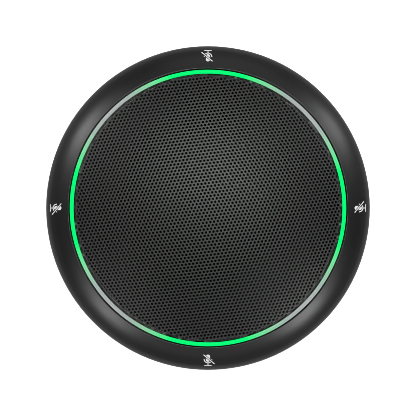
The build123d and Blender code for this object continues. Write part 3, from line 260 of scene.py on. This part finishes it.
can_aluminium = finish(
    "drawn aluminium can",
    drawn,
    grain=0.0002,
    tones=((0.55, 0.56, 0.57), (0.68, 0.69, 0.7)),
    rough=(0.25, 0.38),
    depth=0.000004,
    metallic=1.0,
)
coat(can_aluminium, "bulk_capacitors")

# ---------------------------------------------------------------- cable socket
# A type C receptacle: a drawn steel shell round a black tongue, whose gold contacts lie in a row
# on each side. The contacts are sheet metal, bedded flush in the tongue.
contact_count = 12
contact_pitch = 0.0005
contact_width = 0.00028
contact_length = 0.0032
contact_proud = 0.00002
contact_round = 0.00002
contact_set_back = 0.6     # of a contact's length, from the tongue's tip to its middle

shell_steel = finish(
    "bright drawn steel",
    drawn,
    grain=0.00025,
    tones=((0.48, 0.48, 0.47), (0.62, 0.62, 0.61)),
    rough=(0.22, 0.36),
    depth=0.000004,
    metallic=1.0,
)
coat(shell_steel, "usb_c_shell")


def piece(name, mesh_data, body, material):
    """Turns a finished bmesh into an object that rides on a body."""
    mesh = bpy.data.meshes.new(name)
    mesh_data.to_mesh(mesh)
    mesh_data.free()
    mesh.materials.append(material)
    made = bpy.data.objects.new(name, mesh)
    bpy.context.scene.collection.objects.link(made)
    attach(made, body)
    return made


contact_gold = finish(
    "gold-plated contact",
    drawn,
    grain=0.0001,
    tones=((0.62, 0.42, 0.14), (0.8, 0.58, 0.24)),
    rough=(0.2, 0.32),
    depth=0.000002,
    metallic=1.0,
)
tongue_low, tongue_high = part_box("usb_c_tongue")
tongue_middle = (tongue_low + tongue_high) / 2
contacts = bmesh.new()
contact_height = tongue_high.z - tongue_low.z + 2 * contact_proud
contact_y = tongue_high.y - contact_set_back * contact_length
for number in range(contact_count):
    across = (number - (contact_count - 1) / 2) * contact_pitch
    spot = Matrix.Translation((across, contact_y, tongue_middle.z))
    size = Matrix.Diagonal((contact_width, contact_length, contact_height, 1.0))
    bmesh.ops.create_cube(contacts, size=1.0, matrix=spot @ size)
bmesh.ops.bevel(
    contacts,
    geom=contacts.edges[:],
    offset=contact_round,
    segments=1,
    profile=0.5,
    affect="EDGES",
    material=-1,
)
piece("usb_c_contacts", contacts, "enclosure", contact_gold)

# ---------------------------------------------------------------- frame and gasket
# The baffle is a glass-filled frame that carries the loudspeaker, the light ring's board and the
# bezel. A closed-cell foam gasket seals it against the casing's rim.
frame_plastic = finish(
    "glass-filled black frame",
    moulded,
    grain=0.0006,
    tones=((0.024, 0.024, 0.026), (0.05, 0.05, 0.053)),
    rough=(0.42, 0.62),
    depth=0.00002,
)
coat(frame_plastic, "baffle")

foam, place, grain = pattern("foam cells")
bubbles = put(foam, "TexVoronoi", {"Vector": place, "Scale": grain}, feature="DISTANCE_TO_EDGE")
walls = put(foam, "MapRange", {"Value": bubbles.outputs["Distance"], "From Max": 0.35}).outputs["Result"]
patches = put(foam, "TexNoise", {"Vector": place, "Scale": 400.0}).outputs["Fac"]
give(foam, Tone=patches, Polish=walls, Height=calc(foam, "SUBTRACT", 1.0, walls))

foam_black = finish(
    "closed-cell foam",
    foam,
    grain=0.0004,
    tones=((0.018, 0.018, 0.019), (0.035, 0.035, 0.036)),
    rough=(0.75, 0.92),
    depth=0.00008,
)
coat(foam_black, "enclosure_gasket", "speaker_gasket")

# ---------------------------------------------------------------- loudspeaker, fixed pieces
# A pressed, painted basket holds a plated steel motor round a ferrite ring. The steel is turned,
# so its marks run round the axis. A fibre strip carries the two leads.
basket_paint = finish(
    "black electrophoretic paint",
    moulded,
    grain=0.0005,
    tones=((0.05, 0.05, 0.053), (0.085, 0.085, 0.09)),
    rough=(0.35, 0.5),
    depth=0.00001,
)
coat(basket_paint, "speaker_basket")

turned, place, grain = pattern("turned metal")
rings = put(
    turned,
    "TexWave",
    {"Vector": place, "Scale": grain, "Distortion": 1.5, "Detail": 2.0, "Detail Scale": 0.4},
    wave_type="RINGS",
    rings_direction="Z",
).outputs["Fac"]
stains = put(turned, "TexNoise", {"Vector": place, "Scale": 200.0, "Detail": 3.0}).outputs["Fac"]
give(turned, Tone=stains, Polish=rings, Height=rings)

motor_steel = finish(
    "turned and zinc-plated steel",
    turned,
    grain=0.004,
    tones=((0.38, 0.38, 0.37), (0.55, 0.55, 0.54)),
    rough=(0.26, 0.4),
    depth=0.00001,
    metallic=1.0,
)
coat(motor_steel, "speaker_top_plate", "speaker_yoke")

ferrite = finish(
    "ground ferrite",
    moulded,
    grain=0.0006,
    tones=((0.035, 0.035, 0.038), (0.065, 0.065, 0.07)),
    rough=(0.45, 0.65),
    depth=0.00002,
)
coat(ferrite, "speaker_magnet")

fibre, place, grain = pattern("pressed fibre")
strands = put(fibre, "TexNoise", {"Vector": place, "Scale": grain, "Detail": 6.0, "Distortion": 1.8})
clumps = put(fibre, "TexNoise", {"Vector": place, "Scale": 500.0, "Detail": 3.0}).outputs["Fac"]
give(fibre, Tone=clumps, Polish=strands.outputs["Fac"], Height=strands.outputs["Fac"])

strip_board = finish(
    "brown fibre board",
    fibre,
    grain=0.0005,
    tones=((0.16, 0.085, 0.035), (0.28, 0.15, 0.065)),
    rough=(0.55, 0.72),
    depth=0.00003,
)
coat(strip_board, "speaker_terminals")

lead_sleeve = finish(
    "red lead sleeve",
    moulded,
    grain=0.0004,
    tones=((0.38, 0.02, 0.018), (0.52, 0.035, 0.028)),
    rough=(0.3, 0.42),
    depth=0.000004,
)
coat(lead_sleeve, "speaker_leads")

# ---------------------------------------------------------------- loudspeaker, moving pieces
# A coated paper cone on a rubber half roll and a resin-stiffened cotton spider. The coil is
# enamelled copper wound on an amber film former, behind a woven dust cap.
surround_rubber = finish(
    "surround rubber",
    moulded,
    grain=0.0003,
    tones=((0.014, 0.014, 0.015), (0.026, 0.026, 0.027)),
    rough=(0.5, 0.68),
    depth=0.000008,
)
coat(surround_rubber, "speaker_surround")

woven, place, grain = pattern("plain weave")
warp = put(woven, "TexWave", {"Vector": place, "Scale": grain, "Distortion": 0.6}, bands_direction="X")
weft = put(woven, "TexWave", {"Vector": place, "Scale": grain, "Distortion": 0.6}, bands_direction="Y")
threads = calc(woven, "MAXIMUM", warp.outputs["Fac"], weft.outputs["Fac"])
fuzz = put(woven, "TexNoise", {"Vector": place, "Scale": 3000.0, "Detail": 3.0}).outputs["Fac"]
give(woven, Tone=calc(woven, "MULTIPLY", threads, fuzz), Polish=fuzz, Height=threads)

spider_cloth = finish(
    "resin-stiffened cotton",
    woven,
    grain=0.003,
    tones=((0.34, 0.22, 0.08), (0.55, 0.38, 0.16)),
    rough=(0.6, 0.78),
    depth=0.00006,
)
coat(spider_cloth, "spider")

cone_paper = finish(
    "coated paper cone",
    fibre,
    grain=0.0008,
    tones=((0.03, 0.03, 0.032), (0.06, 0.06, 0.062)),
    rough=(0.55, 0.75),
    depth=0.00004,
)
coat(cone_paper, "speaker_cone")

cap_cloth = finish(
    "coated woven cap",
    woven,
    grain=0.003,
    tones=((0.025, 0.025, 0.026), (0.05, 0.05, 0.052)),
    rough=(0.5, 0.65),
    depth=0.00004,
)
coat(cap_cloth, "dust_cap")

wound, place, grain = pattern("wound wire")
turns = put(wound, "TexWave", {"Vector": place, "Scale": grain}, bands_direction="Z").outputs["Fac"]
enamel = put(wound, "TexNoise", {"Vector": place, "Scale": 800.0}).outputs["Fac"]
give(wound, Tone=turns, Polish=enamel, Height=turns)

coil_copper = finish(
    "enamelled copper wire",
    wound,
    grain=0.003,
    tones=((0.42, 0.14, 0.05), (0.66, 0.28, 0.12)),
    rough=(0.22, 0.36),
    depth=0.00008,
    metallic=1.0,
)
coat(coil_copper, "coil_winding")

former_film = finish(
    "amber film",
    moulded,
    grain=0.0006,
    tones=((0.4, 0.19, 0.045), (0.52, 0.27, 0.07)),
    rough=(0.22, 0.34),
    depth=0.000004,
)
coat(former_film, "coil_former")

# ---------------------------------------------------------------- microphones
# Four capsules in nickel cans, each on its own little board under a soft boot, with a ribbon down
# to the main board.
boot_rubber = finish(
    "boot rubber",
    moulded,
    grain=0.0003,
    tones=((0.016, 0.016, 0.017), (0.03, 0.03, 0.031)),
    rough=(0.6, 0.8),
    depth=0.00001,
)
coat(boot_rubber, *(name for name in nodes if name.startswith("mic_boot")))

capsule_nickel = finish(
    "nickel capsule can",
    drawn,
    grain=0.0001,
    tones=((0.5, 0.47, 0.42), (0.64, 0.61, 0.55)),
    rough=(0.22, 0.34),
    depth=0.000002,
    metallic=1.0,
)
coat(capsule_nickel, "mic_capsules")

ribbon_film = finish(
    "polyester flat cable",
    wound,
    grain=0.006,
    tones=((0.6, 0.6, 0.58), (0.78, 0.78, 0.76)),
    rough=(0.25, 0.38),
    depth=0.00002,
)
coat(ribbon_film, "mic_ribbons", "led_cable")

# ---------------------------------------------------------------- light ring
# Twenty-four LEDs on a white board shine up through a moulded reflector into a milky acrylic
# guide. Each quarter is lit green round its mute mark and fades out towards the diagonals.
board_white = finish(
    "white solder mask",
    tracks,
    grain=0.005,
    tones=((0.62, 0.63, 0.62), (0.7, 0.71, 0.7)),
    rough=(0.25, 0.36),
    depth=0.00002,
)
coat(board_white, "led_ring_board")

reflector_white = finish(
    "bright white nylon",
    moulded,
    grain=0.0004,
    tones=((0.74, 0.75, 0.74), (0.83, 0.84, 0.83)),
    rough=(0.45, 0.6),
    depth=0.000008,
)
coat(reflector_white, "led_reflector")

led_lens = finish(
    "silicone LED lens",
    moulded,
    grain=0.0005,
    tones=((0.7, 0.67, 0.5), (0.82, 0.79, 0.64)),
    rough=(0.15, 0.28),
    depth=0.000003,
)
coat(led_lens, "led_packages")

# The guide's colour goes round in four equal waves, one to each mute mark: 1 at a mark, 0 between
# two. Unlit acrylic is pale grey, and its base fades out where the green light takes over. Below the
# crown both colours are painted black: painted shade for the walls, which are in the dark of the gaps.
lit_quarters = 4.0
crown_depth = 0.0003
crown_fade = 0.0001
green_stops = (
    (0.011, (0.0, 0.0, 0.0)),
    (0.117, (0.0, 0.064, 0.029)),
    (0.313, (0.0, 0.326, 0.081)),
    (0.552, (0.0, 0.683, 0.174)),
    (0.719, (0.0, 0.974, 0.188)),
)
unlit_stops = (
    (0.011, (0.335, 0.361, 0.357)),
    (0.117, (0.298, 0.322, 0.318)),
    (0.313, (0.221, 0.238, 0.235)),
    (0.552, (0.087, 0.094, 0.093)),
    (0.719, (0.0, 0.0, 0.0)),
)
milky = finish(
    "milky acrylic",
    moulded,
    grain=0.0006,
    tones=((0.6, 0.63, 0.63), (0.66, 0.69, 0.69)),
    rough=(0.4, 0.5),
    depth=0.000003,
    Specular_IOR_Level=0.04,
    Emission_Strength=1.0,
)
tree = milky.node_tree
shader = tree.nodes["Principled BSDF"]
across = put(tree, "SeparateXYZ", {"Vector": tree.nodes["Texture Coordinate"].outputs["Object"]})
around = calc(tree, "ARCTAN2", across.outputs["Y"], across.outputs["X"])
wave = calc(tree, "COSINE", calc(tree, "MULTIPLY", around, lit_quarters))
lit = calc(tree, "MULTIPLY_ADD", wave, 0.5)
lit.node.inputs[2].default_value = 0.5
crown_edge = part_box("light_guide")[1].z - crown_depth
# Painted shade: 1 on the crown and 0 on the walls below it, which turns both colours black there.
painted_wall_shade = put(
    tree,
    "MapRange",
    {"Value": across.outputs["Z"], "From Min": crown_edge - crown_fade, "From Max": crown_edge},
)
for stops, socket in ((green_stops, "Emission Color"), (unlit_stops, "Base Color")):
    faced = put(tree, "VectorMath", {0: ramp(tree, lit, stops)}, operation="SCALE")
    tree.links.new(painted_wall_shade.outputs["Result"], faced.inputs["Scale"])
    tree.links.new(faced.outputs["Vector"], shader.inputs[socket])
coat(milky, "light_guide")

# ---------------------------------------------------------------- touch pads
# Copper foil on amber film, bonded under the bezel's skin behind each mute mark.
foil_copper = finish(
    "copper foil on film",
    drawn,
    grain=0.0004,
    tones=((0.42, 0.2, 0.07), (0.6, 0.32, 0.13)),
    rough=(0.28, 0.42),
    depth=0.000004,
    metallic=0.8,
)
coat(foil_copper, *(name for name in nodes if name.startswith("touch_pad")))

# ---------------------------------------------------------------- bezel
# The outer ring, moulded in black and sprayed with a satin coat. It is smooth to the eye: the grain
# only softens what it reflects.
bezel_satin = finish(
    "satin black coat",
    moulded,
    grain=0.00022,
    tones=((0.0035, 0.0035, 0.0037), (0.005, 0.005, 0.0053)),
    rough=(0.33, 0.38),
    depth=0.000002,
)
coat(bezel_satin, "top_bezel")

# ---------------------------------------------------------------- mute marks
# Four white pad-printed marks, one to each side: a microphone on its stand, struck through. Each
# has its stand outwards. The ink is a thin film that follows the bezel.
mark_radius = 0.06238      # from the centre line to the middle of the holder's arc
head_width = 0.0018
head_inner = -0.00188      # along the radius, from the arc's middle
head_outer = 0.00115
holder_radius = 0.0016
stroke = 0.00036
base_stroke = 0.00028
stem_end = 0.0026
base_width = 0.00278
base_middle = 0.00268
slash_start = Vector((0.00172, -0.00172))
slash_end = Vector((-0.0026, 0.00194))
slash_gap = 0.00028
ink_film = 0.00003
ink_slice = 0.00025        # rows of the film, close enough to follow the bezel's curve
mark_margin = 0.002        # past the slash's end, so that the rows take in the whole mark

ink_white = finish(
    "white pad-printing ink",
    moulded,
    grain=0.0002,
    tones=((0.62, 0.62, 0.62), (0.72, 0.72, 0.72)),
    rough=(0.45, 0.6),
    depth=0.000003,
)


def bar(mesh_data, start, end, width):
    """A flat stroke with rounded ends between two points."""
    run = end - start
    caps = bmesh.ops.create_circle(mesh_data, cap_ends=True, segments=24, radius=width / 2)["verts"]
    for vert in caps:
        if vert.co.x > 0:
            vert.co.x += run.length
    turn = Matrix.Rotation(run.to_2d().angle_signed(Vector((1.0, 0.0))), 4, "Z")
    bmesh.ops.transform(mesh_data, matrix=Matrix.Translation((*start, 0.0)) @ turn, verts=caps)


def cut(mesh_data, point, normal, drop_outer=False, drop_inner=False):
    """Cuts a flat shape along a line, and may drop what lies on one side of it."""
    bmesh.ops.bisect_plane(
        mesh_data,
        geom=mesh_data.verts[:] + mesh_data.edges[:] + mesh_data.faces[:],
        dist=1e-7,
        plane_co=point,
        plane_no=normal,
        clear_outer=drop_outer,
        clear_inner=drop_inner,
    )


def microphone():
    """The flat microphone on its stand, its stand towards +Y."""
    made = bmesh.new()
    head_ends = (Vector((0.0, head_inner + head_width / 2)), Vector((0.0, head_outer - head_width / 2)))
    bar(made, *head_ends, head_width)
    bar(made, Vector((0.0, holder_radius)), Vector((0.0, stem_end)), stroke)
    bar(made, Vector((-base_width / 2, base_middle)), Vector((base_width / 2, base_middle)), base_stroke)
    edge = [made.verts.new((holder_radius + side * stroke / 2, 0.0, 0.0)) for side in (-1, 1)]
    bmesh.ops.spin(
        made,
        geom=edge + [made.edges.new(edge)],
        cent=(0.0, 0.0, 0.0),
        axis=(0.0, 0.0, 1.0),
        angle=pi,
        steps=24,
    )
    return made


slash_run = (slash_end - slash_start).normalized()
slash_side = Vector((-slash_run.y, slash_run.x, 0.0))
struck = bmesh.new()
for side in (-1, 1):
    half = microphone()
    edge_point = Vector((*slash_start, 0.0)) + slash_side * side * (stroke / 2 + slash_gap)
    cut(half, edge_point, slash_side * side, drop_inner=True)
    flat = bpy.data.meshes.new("half mark")
    half.to_mesh(flat)
    half.free()
    struck.from_mesh(flat)
    bpy.data.meshes.remove(flat)
bar(struck, slash_start, slash_end, stroke)
mark_reach = slash_end.y + mark_margin
for number in range(int(2 * mark_reach / ink_slice)):
    cut(struck, (0.0, number * ink_slice - mark_reach, 0.0), (0.0, 1.0, 0.0))
flat = bpy.data.meshes.new("struck mark")
struck.to_mesh(flat)
struck.free()

marks = bmesh.new()
for quarter in range(4):
    flat.transform(Matrix.Translation((0.0, mark_radius, 0.0)))
    marks.from_mesh(flat)
    flat.transform(Matrix.Translation((0.0, -mark_radius, 0.0)))
    bmesh.ops.rotate(marks, verts=marks.verts[:], cent=(0, 0, 0), matrix=Matrix.Rotation(pi / 2, 3, "Z"))
bpy.data.meshes.remove(flat)
film = bmesh.ops.extrude_face_region(marks, geom=marks.faces[:])["geom"]
film_top = {element for element in film if isinstance(element, bmesh.types.BMVert)}
bezel_skin = BVHTree.FromObject(nodes["top_bezel"], bpy.context.evaluated_depsgraph_get())
for vert in marks.verts:
    hit, normal, _, _ = bezel_skin.ray_cast(Vector((vert.co.x, vert.co.y, 1.0)), Vector((0, 0, -1)))
    vert.co = hit + normal * (ink_film if vert in film_top else -ink_film)
bmesh.ops.recalc_face_normals(marks, faces=marks.faces[:])
piece("mute_marks", marks, "enclosure", ink_white)

# ---------------------------------------------------------------- acoustic cloth
# A fine black open weave bonded under the grille, which hides the loudspeaker and keeps dust out.
# Its tone is set far below a real black cloth's and it has no specular: painted shade in the grille's holes.
black_cloth_and_hole_shade = finish(
    "black acoustic weave with painted hole shade",
    woven,
    grain=0.004,
    # painted shade: near-zero tones, so the holes through the grille read as deep shadow
    tones=((0.0002, 0.0002, 0.0002), (0.0006, 0.0006, 0.0006)),
    rough=(0.8, 0.95),
    depth=0.00005,
    Specular_IOR_Level=0.0,
)
coat(black_cloth_and_hole_shade, "acoustic_cloth")

# ---------------------------------------------------------------- grille
# Punched steel sheet with a close hexagonal pattern of round holes, pressed to a dome with its rim
# turned down behind the light ring, and powder-coated dark grey.
hole_pitch = 0.001557
hole_radius = 0.00066
hole_sides = 8
hole_sides_below = 6
row_turn = radians(7.5)
pattern_offset = Vector((0.00022, -0.00054, 0.0))  # nearest hole's place, before the rows are turned
sheet_thickness = 0.00075
bend_radius = 0.0009
edge_drop = 0.0009         # bend's centre below the crown of the light ring
last_hole_margin = 0.0005  # flat, from the last holes' centres to where the sheet starts its bend

grille_low, grille_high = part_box("grille")
bend_centre_r = grille_high.x - bend_radius
bend_centre_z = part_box("light_guide")[1].z - edge_drop
rise = grille_high.z - bend_centre_z
dome_radius = (bend_centre_r**2 + rise**2 - bend_radius**2) / (2 * (rise - bend_radius))
dome_centre_z = grille_high.z - dome_radius
bend_start = acos((bend_centre_z - dome_centre_z) / (dome_radius - bend_radius))
dome_length = dome_radius * bend_start
bend_length = bend_radius * (pi / 2 - bend_start)
rim_radius = dome_length + bend_length + bend_centre_z - grille_low.z


def formed(flat_radius, depth):
    """Radius and height on the pressed sheet of a point at a radius on the flat one, some depth down."""
    if flat_radius < dome_length:
        lean = flat_radius / dome_radius
        reach = dome_radius - depth
        return reach * sin(lean), dome_centre_z + reach * cos(lean)
    lean = min(bend_start + (flat_radius - dome_length) / bend_radius, pi / 2)
    drop = max(0.0, flat_radius - dome_length - bend_length)
    reach = bend_radius - depth
    return bend_centre_r + reach * sin(lean), bend_centre_z + reach * cos(lean) - drop


def loop(mesh_data, sides, radius, height):
    """The edges of a regular outline."""
    verts = bmesh.ops.create_circle(
        mesh_data, segments=sides, radius=radius, matrix=Matrix.Translation((0.0, 0.0, height))
    )["verts"]
    return list(dict.fromkeys(edge for vert in verts for edge in vert.link_edges))


# One hexagon of sheet with its punched hole, which is less even where the punch breaks out below.
cell = bmesh.new()
hole_top = loop(cell, hole_sides, hole_radius, 0.0)
hole_bottom = loop(cell, hole_sides_below, hole_radius, -sheet_thickness)
for height, hole in ((0.0, hole_top), (-sheet_thickness, hole_bottom)):
    outline = loop(cell, 6, hole_pitch / sqrt(3), height)
    bmesh.ops.triangle_fill(cell, use_beauty=True, edges=outline + hole)
bmesh.ops.bridge_loops(cell, edges=hole_top + hole_bottom)
stamp = bpy.data.meshes.new("punched hole")
cell.to_mesh(stamp)
cell.free()

sheet = bmesh.new()
row_height = hole_pitch * sqrt(3) / 2
row_count = int(rim_radius / row_height)
placed = Vector((0.0, 0.0, 0.0))
for row in range(-row_count, row_count + 1):
    for column in range(-row_count, row_count + 1):
        spot = pattern_offset + Vector(((column + row % 2 / 2) * hole_pitch, row * row_height, 0.0))
        if spot.length < dome_length + last_hole_margin:
            stamp.transform(Matrix.Translation(spot - placed))
            placed = spot
            sheet.from_mesh(stamp)
bpy.data.meshes.remove(stamp)
bmesh.ops.remove_doubles(sheet, verts=sheet.verts[:], dist=1e-6)
bmesh.ops.rotate(sheet, verts=sheet.verts[:], cent=(0, 0, 0), matrix=Matrix.Rotation(row_turn, 3, "Z"))

# A plain margin outside the last holes, drawn out to a true circle, top and bottom, then closed.
rims = []
for height in (0.0, -sheet_thickness):
    ragged = [
        edge
        for edge in sheet.edges
        if edge.is_boundary and all(abs(vert.co.z - height) < 1e-6 for vert in edge.verts)
    ]
    margin = bmesh.ops.extrude_edge_only(sheet, edges=ragged)["geom"]
    for vert in (element for element in margin if isinstance(element, bmesh.types.BMVert)):
        vert.co.xy = vert.co.xy.normalized() * rim_radius
    rims += [element for element in margin if isinstance(element, bmesh.types.BMEdge)]
bmesh.ops.bridge_loops(sheet, edges=[edge for edge in rims if edge.is_boundary])
for vert in sheet.verts:
    flat_radius = hypot(vert.co.x, vert.co.y)
    radius, height = formed(flat_radius, -vert.co.z)
    vert.co = (vert.co.x * radius / flat_radius, vert.co.y * radius / flat_radius, height)
bmesh.ops.recalc_face_normals(sheet, faces=sheet.faces[:])

grille_coat = finish(
    "dark grey powder coat",
    moulded,
    grain=0.0003,
    tones=((0.006, 0.006, 0.0062), (0.010, 0.010, 0.0102)),
    rough=(0.45, 0.5),
    depth=0.000006,
    Specular_IOR_Level=1.0,
)
grille = piece("perforated_grille", sheet, "enclosure", grille_coat)
for face in grille.data.polygons:
    face.use_smooth = True
grille.data.set_sharp_from_angle(angle=radians(35.0))
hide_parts("grille")

# ---------------------------------------------------------------- table, lights and camera
# A plain white table. Four narrow softboxes stand on the diagonals, two dim broad ones fill in from
# the rear and the front, and one hangs overhead. The camera looks straight down from far away.
picture_width = 0.1722     # what the picture takes in, at the level of the widest part
camera_height = 3.0
widest_z = 0.0145
lens_spread = 0.8          # a crisp lens, which keeps the grille's webs apart
table_radius = 0.3
table_drop = 0.00005       # below the feet, so that the two faces don't coincide
table_glow = 0.8
studio_grey = (0.12, 0.12, 0.124)
lamp_distance = 0.8
overhead_distance = 1.2

floor_mesh = bmesh.new()
bmesh.ops.create_circle(floor_mesh, cap_ends=True, segments=96, radius=table_radius)
floor_data = bpy.data.meshes.new("table")
floor_mesh.to_mesh(floor_data)
floor_mesh.free()
table = bpy.data.objects.new("table", floor_data)
table.location.z = -table_drop
bpy.context.scene.collection.objects.link(table)
table_white = bpy.data.materials.new("white table")
table_white.use_nodes = True
tree = table_white.node_tree
shader = tree.nodes["Principled BSDF"]
shader.inputs["Base Color"].default_value = (0.4, 0.4, 0.4, 1.0)
shader.inputs["Roughness"].default_value = 0.9
shader.inputs["Emission Color"].default_value = (1.0, 1.0, 1.0, 1.0)
seen = put(tree, "LightPath").outputs["Is Camera Ray"]
tree.links.new(calc(tree, "MULTIPLY", seen, table_glow), shader.inputs["Emission Strength"])
table.data.materials.append(table_white)

world = bpy.data.worlds.new("studio")
world.use_nodes = True
tree = world.node_tree
backdrop = tree.nodes["Background"]
seen = put(tree, "LightPath").outputs["Is Camera Ray"]
backdrop_colour = ramp(tree, seen, ((0.0, studio_grey), (1.0, (1.0, 1.0, 1.0))))
tree.links.new(backdrop_colour, backdrop.inputs["Color"])
bpy.context.scene.world = world


def softbox(name, azimuth, elevation, distance, width, height, brightness):
    """A rectangular lamp that faces the object. Azimuth runs from +X towards +Y, in degrees."""
    turn, lift = radians(azimuth), radians(elevation)
    towards = Vector((cos(turn) * cos(lift), sin(turn) * cos(lift), sin(lift)))
    lamp = bpy.data.lights.new(name, "AREA")
    lamp.shape = "RECTANGLE"
    lamp.size = width
    lamp.size_y = height
    lamp.energy = brightness * pi * width * height
    made = bpy.data.objects.new(name, lamp)
    made.location = towards * distance
    made.rotation_mode = "QUATERNION"
    made.rotation_quaternion = towards.to_track_quat("Z", "Y")
    made.visible_camera = False
    bpy.context.scene.collection.objects.link(made)


for name, azimuth, elevation, width, height, brightness in (
    ("softbox rear right", 33.0, 23.0, 0.16, 0.42, 8.0),
    ("softbox rear left", 148.0, 28.0, 0.14, 0.34, 13.0),
    ("softbox front left", 226.0, 32.0, 0.14, 0.34, 12.0),
    ("softbox front right", 313.0, 34.0, 0.14, 0.34, 15.0),
    ("softbox rear", 84.0, 24.0, 0.6, 0.42, 0.6),
    ("softbox front", 268.0, 30.0, 0.5, 0.4, 0.5),
):
    softbox(name, azimuth, elevation, lamp_distance, width, height, brightness)
softbox("softbox overhead", 80.0, 78.0, overhead_distance, 0.75, 0.5, 7.6)

camera_data = bpy.data.cameras.new("camera")
camera_data.lens = camera_data.sensor_width * (camera_height - widest_z) / picture_width
camera = bpy.data.objects.new("camera", camera_data)
camera.location = (0.0, 0.0, camera_height)
bpy.context.scene.collection.objects.link(camera)
bpy.context.scene.camera = camera
bpy.context.scene.view_settings.view_transform = "Standard"
bpy.context.scene.cycles.filter_width = lens_spread
